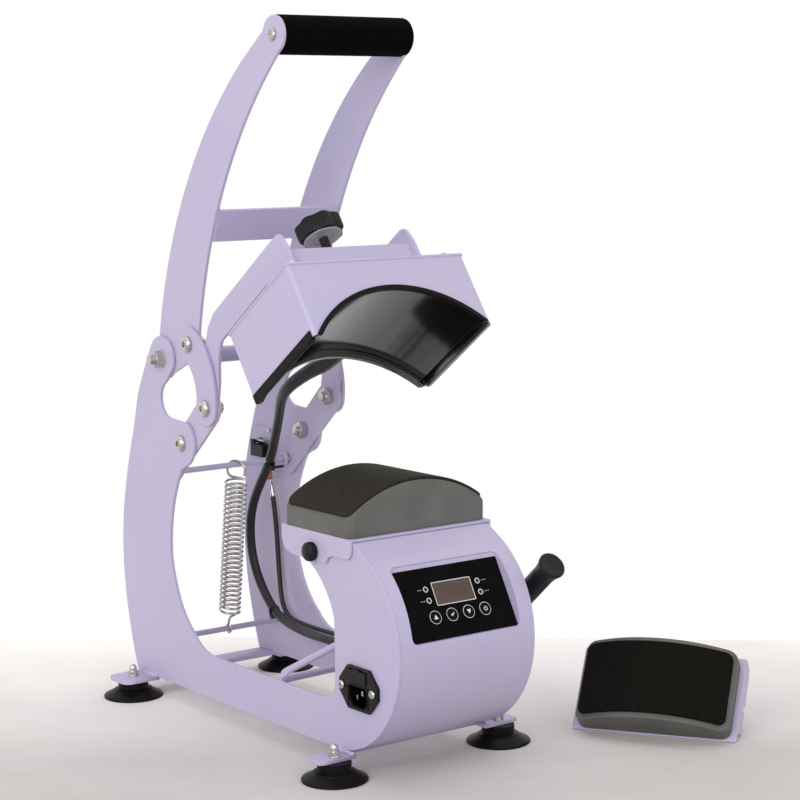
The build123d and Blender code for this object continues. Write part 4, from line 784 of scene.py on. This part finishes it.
# ---- links ----
# A pair of short curved levers of the same sheet, outside the others. Each screw through them turns in a
# plain hole.
for node in ("link_left", "link_right"):
    dress_sheet(node, "links")

# ---- platen arms ----
# The two sheet-steel arms that carry the heated platen, joined by a folded bridge at the front and by the
# spring's rod behind, which is welded to both.
for node in ("platen_arm_left", "platen_arm_right", "arm_cross_plate", "tail_rod"):
    dress_sheet(node, "platen_arm")
tail_low, tail_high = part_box("tail_rod")
tail_y, tail_z = (tail_low.y + tail_high.y) / 2, (tail_low.z + tail_high.z) / 2
TAIL_RING = 0.0042
tail_turn = [math.radians(60 * k) for k in range(7)]
tail_runs = []
for x in (tail_low.x + 0.0034, tail_high.x - 0.0034):
    spots = [(x, tail_y + TAIL_RING * math.cos(a), tail_z + TAIL_RING * math.sin(a)) for a in tail_turn]
    tail_runs += list(zip(spots, spots[1:]))
weld("tail_welds", tail_runs, "platen_arm", 0.0024)

# ---- heated platen ----
# A folded sheet cover over insulation, a flat heater and a curved aluminium plate with a smooth dark coating.
# Inside, the cover is as dark as the plate. Its mouth is edged with black rubber and four nuts hold its lid.
hot_coating = finish_of(
    "hot_plate_coating", (8, 8, 9), (5, 5, 6), (0.1, 0.14), 500, patch=25.0, bump=0.02, depth=0.00003
)
hot_coating.node_tree.nodes["Principled BSDF"].inputs["IOR"].default_value = 2.3
dress_sheet("heated_plate", "heated_platen", hot_coating, 0.0006)
OPEN_LEAN = math.radians(-35)
ARM_PIVOT = Vector((0, 0.087, 0.233))
arm_place = Matrix.Translation(ARM_PIVOT) @ Matrix.Rotation(OPEN_LEAN, 4, "X") @ Matrix.Translation(-ARM_PIVOT)
PLATEN_Y = -0.115
PLATEN_MIDDLE = Vector((0, PLATEN_Y, 0.215))
LID_INSIDE = 0.03       # above the platen's middle
MOUTH_REAR, MOUTH_SIDE, MOUTH_FRONT = 0.049, 0.081, -0.050
level = arm_place.inverted()


def as_closed(facet):
    """Where a face of the platen lies from its middle, and which way it faces, with the press closed."""
    return level @ facet.center - PLATEN_MIDDLE, level.to_3x3() @ facet.normal


housing = dress_sheet("platen_housing", "heated_platen")
housing.data.materials.append(hot_coating)
for facet in housing.data.polygons:
    spot, lie = as_closed(facet)
    inward = lie.x * spot.x < -0.5 * abs(spot.x) or lie.y * spot.y < -0.5 * abs(spot.y)
    if spot.z < LID_INSIDE and (inward or lie.z < -0.3):
        facet.material_index = 1
trim = dress_sheet("edge_trim", "heated_platen", black_rubber, 0.0004)
trim.data.materials.append(hot_coating)
for facet in trim.data.polygons:
    spot, lie = as_closed(facet)
    at_side = spot.x > MOUTH_SIDE and spot.y > MOUTH_FRONT and lie.x < 0.5
    if spot.y > MOUTH_REAR and lie.y < 0.5 or at_side:
        facet.material_index = 1
lid_nut = join_shapes(hex_prism(0.0074, 0.0, 0.0034, 0.0005), turned_piece(
    [(0.0, 0.0030), (0.0030, 0.0030), (0.0031, 0.0046), (0.0024, 0.0058), (0.0, 0.0062)], 24))
LID_TOP = 0.2529
LID_NUT_X, LID_NUT_Y = 0.074, 0.0440
lid_spots = [arm_place @ Matrix.Translation((sx * LID_NUT_X, PLATEN_Y + sy * LID_NUT_Y, LID_TOP))
             for sx in (-1, 1) for sy in (-1, 1)]
set_of("lid_nuts", lid_nut, lid_spots, "heated_platen", bright_zinc)

# ---- pressure knob ----
# A seven-lobed star knob moulded on the pressure screw, ribbed down its lobes, with a pale plastic disc
# let into its underside. The screw is blackened and its thread shows below the knob.
THREAD_PITCH = 0.00125
blackened_steel = finish_of(
    "blackened_steel", (96, 93, 92), (70, 68, 68), (0.34, 0.44), 700, patch=80.0, metallic=1.0
)
steel = blackened_steel.node_tree
steel_place = node_of(steel, "ShaderNodeTexCoord")
screw_upright = node_of(steel, "ShaderNodeMapping", Rotation=(-OPEN_LEAN, 0, 0))
thread = node_of(steel, "ShaderNodeTexWave", Scale=2 * math.pi / THREAD_PITCH / 20)
thread.bands_direction = "Z"
thread_relief = node_of(steel, "ShaderNodeBump", Strength=1.0, Distance=0.0006)
wire_up(
    steel,
    (steel_place, "Object", screw_upright, "Vector"), (screw_upright, "Vector", thread, "Vector"),
    (thread, "Fac", thread_relief, "Height"), (thread_relief, "Normal", steel.nodes["Principled BSDF"], "Normal"),
)
dress_sheet("pressure_stud", "pressure_screw", blackened_steel, 0.00022)
KNOB_FOOT = 0.3065
KNOB_LOBES, KNOB_RIBS = 7, 42
knob_body = turned_piece(
    [(0.0, 0.0), (0.0165, 0.0), (0.0186, 0.0009), (0.0194, 0.0024), (0.0195, 0.0080), (0.0194, 0.0134),
     (0.0185, 0.0151), (0.0150, 0.0160), (0.0, 0.0161)], 252)
for vert in knob_body.verts:
    radius = math.hypot(vert.co.x, vert.co.y)
    if radius > 0.018:
        around = math.atan2(vert.co.y, vert.co.x)
        lobe = 0.0011 * math.cos(KNOB_LOBES * around) - 0.0009 + 0.0003 * math.cos(KNOB_RIBS * around)
        vert.co.xy *= (radius + lobe) / radius
knob_place = arm_place @ Matrix.Translation((0, PLATEN_Y, KNOB_FOOT))
set_of("knob_body", knob_body, [knob_place], "pressure_screw", satin_black, ("pressure_knob",))
disc_grey = finish_of(
    "disc_grey", (176, 174, 172), (160, 158, 157), (0.4, 0.52), 900, patch=60.0, bump=0.1, depth=0.00006
)
knob_disc = turned_piece(
    [(0.0, 0.0), (0.0076, 0.0), (0.0080, 0.0006), (0.0088, 0.0006), (0.0092, 0.0), (0.0160, 0.0), (0.0165, 0.0005),
     (0.0165, 0.0010), (0.0, 0.0010)], 64)
disc_place = arm_place @ Matrix.Translation((0, PLATEN_Y, KNOB_FOOT - 0.0008))
set_of("knob_disc", knob_disc, [disc_place], "pressure_screw", disc_grey)

# ---- lower platens ----
# A folded bracket drops over the deck and carries a grey moulded base with a soft silicone sponge pad
# glued to its arch. The spare one beside the press is the same, only smaller.
grey_moulding = finish_of(
    "grey_moulding", (110, 110, 106), (99, 99, 95), (0.5, 0.64), 1500, patch=30.0, bump=0.35, depth=0.00012,
    specular=0.2,
)
# painted light: both pads are the same silicone; the pad under the press takes a lighter copy of it, and the spare
# pad a darker copy as painted shade
lit_silicone_pad = finish_of(
    "lit_silicone_pad", (53, 49, 41), (43, 40, 33), (0.6, 0.76), 1300, patch=300.0, bump=0.35, depth=0.00015,
    specular=0.08,
)
shaded_spare_silicone = finish_of(
    "shaded_spare_silicone_pad", (22, 20, 16), (15, 14, 11), (0.6, 0.76), 1300, patch=300.0, bump=0.35, depth=0.00015,
    specular=0.05,
)
SHEET = 0.002
PAD_FACE = 0.1075       # radius of the pad's arch
BASE_FRONT, BASE_FORWARD = -0.119, 0.0032      # what lies ahead of this is drawn forward
bracket_low, bracket_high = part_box("lower_bracket")
FLANGE = [      # the bracket's turned-down side, in y and below its top
    (-0.0700, 0.0), (-0.0698, -0.0110), (-0.0722, -0.0168), (-0.0765, -0.0205), (-0.0840, -0.0226),
    (-0.0950, -0.0230), (-0.1300, -0.0230), (-0.1318, -0.0224), (-0.1326, -0.0206), (-0.1332, -0.0186),
    (-0.1350, -0.0176), (-0.1372, -0.0174), (-0.1400, -0.0160), (-0.1580, -0.0160), (-0.1615, -0.0152),
    (-0.1640, -0.0128), (-0.1652, -0.0090), (-0.1655, 0.0),
]
inside = bracket_high.x - SHEET / 2
sheets = [flat_shape([(-inside, -0.0702), (inside, -0.0702), (inside, -0.1653), (-inside, -0.1653)], (),
                     bracket_high.z - SHEET, bracket_high.z - 0.0002)]
for edge in (bracket_low.x, bracket_high.x - SHEET):
    side = flat_shape(FLANGE, (), 0.0, SHEET)
    upright = Matrix(((0, 0, 1, edge), (1, 0, 0, 0), (0, 1, 0, bracket_high.z), (0, 0, 0, 1)))
    bmesh.ops.transform(side, matrix=upright, verts=side.verts)
    sheets.append(side)
folded = ease_edges(shape_object("lower_bracket_sheet", join_shapes(*sheets)), 0.0004)
settle(coat(folded, lavender), "frame", ("lower_bracket",))
dress_sheet("spare_bracket", "spare_platen")
for node, body in (("lower_base", "frame"), ("spare_base", "spare_platen")):
    base = dress_sheet(node, body, grey_moulding, 0.0007)
    if node == "lower_base":
        for vert in base.data.vertices:
            if vert.co.y < BASE_FRONT:
                vert.co.y -= BASE_FORWARD
PAD_STRETCH = 1.06      # the pad reaches nearly to the sides of the base
SPARE_STRETCH = 1.055
# the press's pad takes the lighter copy of the silicone, and the spare pad the darker copy with its painted shade
for node, body, pad_silicone_painted_light in (("lower_pad", "frame", lit_silicone_pad), ("spare_pad", "spare_platen", shaded_spare_silicone)):
    pad = dress_sheet(node, body, pad_silicone_painted_light, 0.0005)
    if node == "spare_pad":
        low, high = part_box("spare_pad")
        middle = (low + high) / 2
        for vert in pad.data.vertices:
            vert.co = middle + (vert.co - middle) * SPARE_STRETCH
    if node == "lower_pad":
        axis = max(v.co.z for v in pad.data.vertices) - PAD_FACE
        for vert in pad.data.vertices:
            if vert.co.y < BASE_FRONT:
                vert.co.y -= BASE_FORWARD
            reach = math.hypot(vert.co.x, vert.co.z - axis)
            swing = math.atan2(vert.co.x, vert.co.z - axis) * PAD_STRETCH
            vert.co.x, vert.co.z = reach * math.sin(swing), axis + reach * math.cos(swing)

# ---- thumbscrews ----
# Black plastic knobs with a finely ribbed rim, moulded on the steel screws that clamp the lower platen's
# bracket to the drum.
KNURL_RIDGES = 24
knob_profile = [(0.0, 0.0), (0.0064, 0.0), (0.0072, 0.0006), (0.0074, 0.0014), (0.0073, 0.0046), (0.0068, 0.0060),
                (0.0056, 0.0070), (0.0036, 0.0076), (0.0, 0.0078)]
for side, name in ((-1, "thumbscrew_left"), (1, "thumbscrew_right")):
    knob = turned_piece(knob_profile, 96)
    for vert in knob.verts:
        radius = math.hypot(vert.co.x, vert.co.y)
        if radius > 0.0062:
            ridge = 0.00022 * math.cos(KNURL_RIDGES * math.atan2(vert.co.y, vert.co.x))
            vert.co.xy *= (radius + ridge) / radius
    shank = turned_piece([(0.0, -0.0114), (0.0022, -0.0114), (0.0025, -0.0110), (0.0025, 0.0004), (0.0, 0.0004)], 24)
    outward = Matrix(((0, 0, side, side * 0.0686), (0, 1, 0, -0.1145), (-side, 0, 0, 0.1706), (0, 0, 0, 1)))
    set_of(f"{name}_knob", join_shapes(knob, shank), [outward], name, satin_black, (name,), 40)

# ---- side grip ----
# A short moulded grip of black plastic with a flared end. It is screwed to the right side plate and leans
# forward.
SIDE_END = Vector((0.082, -0.225, 0.157))
SIDE_LEAN = math.radians(41)
SIDE_LENGTH = 0.054


def stood(along, place):
    """A frame at a place with its z along a direction."""
    turned = Vector(along).to_track_quat("Z", "Y").to_matrix().to_4x4()
    turned.translation = place
    return turned


side_up = Vector((0, -math.cos(SIDE_LEAN), math.sin(SIDE_LEAN)))
side_turn = stood(side_up, SIDE_END - side_up * SIDE_LENGTH)
side_grip = turned_piece(
    [(0.0, 0.0), (0.0080, 0.0), (0.00875, 0.0008), (0.00875, 0.012), (0.00875, 0.026), (0.00880, 0.040),
     (0.0094, 0.045), (0.0104, 0.0492), (0.01115, 0.0518), (0.01125, 0.0528), (0.0108, 0.0536),
     (0.0098, 0.0540), (0.0086, 0.0537), (0.0, 0.0530)], 64)
set_of("side_grip_cover", side_grip, [side_turn], "frame", satin_black, ("side_grip",), 50)

# ---- return spring ----
# An extension spring of 2.2 mm plated wire. A large open hook hangs it on the platen arms' rod and a straight
# tail with a small ring holds the rod between the side plates, so it stretches as the press closes.
SPRING_LOW_ROD = Vector((0.006, 0.135, 0.052))
low_corner, high_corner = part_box("tail_rod")
SPRING_HIGH_ROD = Vector((0.006, (low_corner.y + high_corner.y) / 2, (low_corner.z + high_corner.z) / 2))
SPRING_RADIUS = 0.0090
SPRING_TURNS = 28
COIL_FOOT, COIL_HEAD = 0.0155, 0.0150     # from each rod to the end of the coil
WIRE = 0.0011
ROD_REACH = 0.0027       # the rod and a little play
TOP_HOOK = 0.0092


def coil_tree(material):
    """A helix of round wire."""
    tree, enter, leave, inputs = shape_tree("wound_wire", ("Turns", "Radius", "Height", "Wire"))
    spiral = node_of(tree, "GeometryNodeCurveSpiral", Resolution=28)
    wire = node_of(tree, "GeometryNodeCurvePrimitiveCircle", Resolution=10)
    swept = node_of(tree, "GeometryNodeCurveToMesh", Fill_Caps=True)
    wire_up(
        tree,
        (enter, "Turns", spiral, "Rotations"), (enter, "Radius", spiral, "Start Radius"),
        (enter, "Radius", spiral, "End Radius"), (enter, "Height", spiral, "Height"), (enter, "Wire", wire, "Radius"),
        (spiral, "Curve", swept, "Curve"), (wire, "Curve", swept, "Profile Curve"),
    )
    end_tree(tree, swept, "Mesh", leave, material)
    return tree, inputs


spring_line = SPRING_HIGH_ROD - SPRING_LOW_ROD
spring_up = spring_line.normalized()
coil_height = spring_line.length - COIL_FOOT - COIL_HEAD
coil_sizes = {"Turns": float(SPRING_TURNS), "Radius": SPRING_RADIUS, "Height": coil_height, "Wire": WIRE}
coil = grow(solid_piece("spring_coil", [(0, 0, 0)], []), *coil_tree(bright_zinc), coil_sizes)
spring_turn = Matrix((Vector((1, 0, 0)), spring_up.cross(Vector((1, 0, 0))), spring_up)).transposed().to_4x4()
spring_turn.translation = SPRING_LOW_ROD + spring_up * COIL_FOOT
coil.data.transform(spring_turn)


def wire_run(name, points, radius, material, swell=(), resolution=10):
    """Round wire or cable along a smooth curve, thicker where swell asks for it, as a mesh."""
    line = bpy.data.curves.new(name, "CURVE")
    line.dimensions = "3D"
    line.bevel_depth = radius
    line.bevel_resolution = 5
    line.resolution_u = resolution
    line.use_fill_caps = True
    spline = line.splines.new("NURBS")
    spline.points.add(len(points) - 1)
    for point, place in zip(spline.points, points):
        point.co = (*place, 1.0)
    for point, factor in zip(spline.points, swell):
        point.radius = factor
    spline.order_u = 3
    spline.use_endpoint_u = True
    curve = bpy.data.objects.new(name + "_line", line)
    scene.collection.objects.link(curve)
    mesh = drawn_mesh(curve)
    bpy.data.objects.remove(curve)
    mesh.name = name
    piece = bpy.data.objects.new(name, mesh)
    scene.collection.objects.link(piece)
    piece.data.shade_smooth()
    return coat(piece, material)


spring_out = spring_up.cross(Vector((1, 0, 0)))
hook_out = spring_out * 0.86 - Vector((0.5, 0, 0))      # the open loop hangs a little askew


def wound_points(centre, reach, out, turns):
    """Points round a rod's axis at the angles given, in degrees from the spring's line."""
    return [centre + spring_up * reach * math.cos(a) + out * reach * math.sin(a) for a in map(math.radians, turns)]


coil_side = Vector((SPRING_RADIUS, 0, 0))
coil_foot, coil_head = SPRING_LOW_ROD + spring_up * COIL_FOOT, SPRING_HIGH_ROD - spring_up * COIL_HEAD
tail_ring = ROD_REACH + WIRE
# The tail crosses from the last turn to the axis, runs straight down and rounds the rod.
low_points = [
    coil_foot + coil_side, coil_foot + coil_side * 0.9 - spring_up * 0.0028,
    coil_foot + coil_side * 0.3 - spring_up * 0.0044, SPRING_LOW_ROD + spring_up * (tail_ring + 0.0055),
    *wound_points(SPRING_LOW_ROD, tail_ring, spring_out, range(10, 331, 40)),
]
# The hook rises from the last turn into a large open loop that hangs over the rod.
hook_middle = SPRING_HIGH_ROD - spring_up * (TOP_HOOK - tail_ring)
high_points = [
    coil_head + coil_side, coil_head + coil_side * 0.85 + spring_up * 0.0012 + hook_out * 0.0040,
    coil_head + coil_side * 0.3 + spring_up * 0.0022 + hook_out * 0.0062,
    *wound_points(hook_middle, TOP_HOOK, hook_out, range(125, -116, -30)),
]
low_hook = wire_run("spring_low_hook", low_points, WIRE, bright_zinc)
high_hook = wire_run("spring_high_hook", high_points, WIRE, bright_zinc)
whole_spring = bmesh.new()
for part in (coil, low_hook, high_hook):
    whole_spring.from_mesh(part.data)
    bpy.data.objects.remove(part)
spring = coat(shape_object("tension_spring", whole_spring), bright_zinc)
spring.data.shade_smooth()
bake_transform(spring)
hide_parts("return_spring")

# ---- heater cable ----
# The heated platen's lead in a black fabric sleeve, 8.2 mm across, with a tapered boot where it leaves the
# housing. It hangs in a slack bend behind the press and runs low between the plates into the drum.
cable_sleeve = finish_of(
    "black_cable_sleeve", (30, 28, 30), (19, 18, 20), (0.34, 0.46), 2200, patch=160.0, bump=0.2, depth=0.0001
)
CABLE_RADIUS = 0.0041
CABLE_ROUTE = [
    (0.025, -0.026, 0.317), (0.024, -0.006, 0.3032), (0.017, 0.014, 0.2945), (0.014, 0.042, 0.279),
    (0.020, 0.062, 0.267), (0.030, 0.081, 0.249), (0.038, 0.101, 0.225), (0.040, 0.114, 0.202),
    (0.040, 0.128, 0.184), (0.040, 0.142, 0.164), (0.040, 0.149, 0.143), (0.040, 0.148, 0.118),
    (0.040, 0.139, 0.096), (0.040, 0.124, 0.078), (0.038, 0.105, 0.066), (0.036, 0.080, 0.061),
    (0.031, 0.040, 0.060), (0.026, 0.000, 0.063), (0.025, -0.060, 0.061), (0.025, -0.095, 0.058),
    (0.025, -0.1395, 0.058),
]
BOOT = (1.85, 1.75, 1.55, 1.35, 1.12, 0.98)      # how much thicker the boot makes it at the first points
heater_cable = wire_run("heater_cable", CABLE_ROUTE, CABLE_RADIUS, cable_sleeve, BOOT, 16)
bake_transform(heater_cable)
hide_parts("cable_upper", "cable_slack", "cable_lower")

# ---- cable entries ----
# A black rubber grommet is pressed into the drum's back where the heater cable passes it. The switch lead has
# a plain hole.
grommet = turned_piece(
    [(0.0037, -0.0020), (0.0062, -0.0020), (0.0065, -0.0016), (0.0065, -0.0003), (0.0056, 0.0), (0.0056, 0.0012),
     (0.0064, 0.0014), (0.0064, 0.0040), (0.0056, 0.0060), (0.0040, 0.0062), (0.0037, 0.0060)], 40)
along_y = Matrix(((1, 0, 0, 0.025), (0, 0, 1, -0.140), (0, -1, 0, 0.058), (0, 0, 0, 1)))
set_of("cable_grommet_ring", grommet, [along_y], "frame", black_rubber, ("cable_grommet",))

# ---- switch lead ----
# Two thin wires in a black sleeve, 4.6 mm across, that hang from a blade connector under the switch and run
# beside the heater cable into the drum. The connector is a crimped tag in a clear brown sleeve.
LEAD_ROUTE = [
    (0.0568, 0.1355, 0.1665), (0.0570, 0.1325, 0.150), (0.0568, 0.1300, 0.128), (0.0562, 0.1270, 0.100),
    (0.0550, 0.1220, 0.072), (0.0500, 0.1040, 0.061), (0.0470, 0.078, 0.060), (0.046, 0.052, 0.060),
    (0.044, 0.012, 0.062), (0.042, -0.030, 0.062), (0.042, -0.075, 0.060), (0.042, -0.110, 0.062),
    (0.042, -0.1395, 0.062),
]
LEAD_RADIUS = 0.0023
lead = wire_run("switch_lead_sleeve", LEAD_ROUTE, LEAD_RADIUS, cable_sleeve, resolution=16)
settle(lead, "frame", ("switch_lead",))

clear_brown = finish_of(
    "clear_brown_sleeve", (176, 120, 84), (150, 98, 66), (0.2, 0.3), 600, patch=90.0, bump=0.03, depth=0.00003
)
TAG_TOP = Vector((0.0566, 0.1445, 0.2010))
TAG_FOOT = Vector(LEAD_ROUTE[0])
tag_line = TAG_FOOT - TAG_TOP
tag_turn = stood(tag_line, TAG_TOP)
tag_end = tag_line.length
crimp = turned_piece([(0.0, tag_end - 0.013), (0.0012, tag_end - 0.013), (0.0019, tag_end - 0.011),
                      (0.0019, tag_end - 0.002), (0.0024, tag_end), (0.0, tag_end + 0.0004)], 20)
tab = turned_piece([(0.0, 0.0), (0.0010, 0.0), (0.0010, tag_end - 0.012), (0.0, tag_end - 0.012)], 12)
set_of("blade_tag", join_shapes(crimp, tab), [tag_turn], "frame", bright_zinc)
tag_cover = turned_piece([(0.0, 0.006), (0.0022, 0.006), (0.0026, 0.0066), (0.0026, 0.0190), (0.0021, 0.0198),
                          (0.0, 0.0198)], 24)
set_of("blade_tag_sleeve", tag_cover, [tag_turn], "frame", clear_brown)

# ---- cable ties ----
# Black nylon ties with their tails left on: one round the heater cable by the arms' rod, one where the
# switch lead joins it.
TIE_HALF = 0.0016


def block(size, middle):
    made = bmesh.new()
    bmesh.ops.create_cube(made, size=1.0)
    bmesh.ops.scale(made, vec=size, verts=made.verts)
    bmesh.ops.translate(made, vec=middle, verts=made.verts)
    return made


def cable_tie(name, place, along, radius, tail, body):
    """A band square to the cable, its square head and its tail."""
    band = turned_piece([(radius, -TIE_HALF), (radius + 0.0007, -TIE_HALF), (radius + 0.0011, -0.0011),
                         (radius + 0.0011, 0.0011), (radius + 0.0007, TIE_HALF), (radius, TIE_HALF)], 40)
    head = block((0.0044, 0.0034, 0.0044), (0, -radius - 0.0020, 0))
    strip = block((tail, 0.0010, 0.0024), (-tail / 2, -radius - 0.0018, 0))
    set_of(name, join_shapes(band, head, strip), [stood(along, place)], body, satin_black)


cable_tie("tie_upper", Vector((0.040, 0.1142, 0.2015)), (0.02, 0.52, -0.84), CABLE_RADIUS, 0.012, "platen_arm")
cable_tie("tie_lower", Vector((0.0384, 0.1090, 0.0680)), (0.06, 0.86, 0.50), CABLE_RADIUS, 0.016, "frame")

# ---- microswitch ----
# A small black snap switch on a coated carrier inside the right side plate, worked by the platen arm's
# tail through a steel lever.
switch = dress_sheet("microswitch", "frame", satin_black, 0.0003)
switch.data.materials.append(lavender)
CASE_LOW, CASE_HIGH = (0.143, 0.201), (0.165, 0.2137)      # corners of the switch's case in y and z
CASE_FACE = 0.0617
CARRIER_TOP = 0.222
for facet in switch.data.polygons:
    middle = facet.center
    in_case = CASE_LOW[0] < middle.y < CASE_HIGH[0] and CASE_LOW[1] < middle.z < CASE_HIGH[1]
    if middle.x > CASE_FACE and not in_case or middle.z > CARRIER_TOP:
        facet.material_index = 1
dress_sheet("microswitch_lever", "microswitch_lever", bright_zinc, 0.0002)

# ---- pieces inside the housings ----
# The control board on its posts in the drum, and the mica heater and felt insulation above the heated plate.
# They are closed in and only seen through gaps.
board_green = finish_of("board_green", (40, 92, 60), (28, 74, 46), (0.4, 0.5), 900, patch=80.0)
mica_sheet = finish_of("mica_sheet", (166, 124, 82), (138, 100, 64), (0.4, 0.6), 500, patch=90.0)
felt = finish_of("insulating_felt", (228, 225, 214), (206, 202, 190), (0.85, 0.98), 900, patch=60.0, bump=0.6)
for node, material in (("control_board", board_green), ("heating_element", mica_sheet), ("insulation_pad", felt)):
    nodes[node].data.materials.clear()
    nodes[node].data.materials.append(material)

# ---- last update ----
bpy.context.view_layer.update()
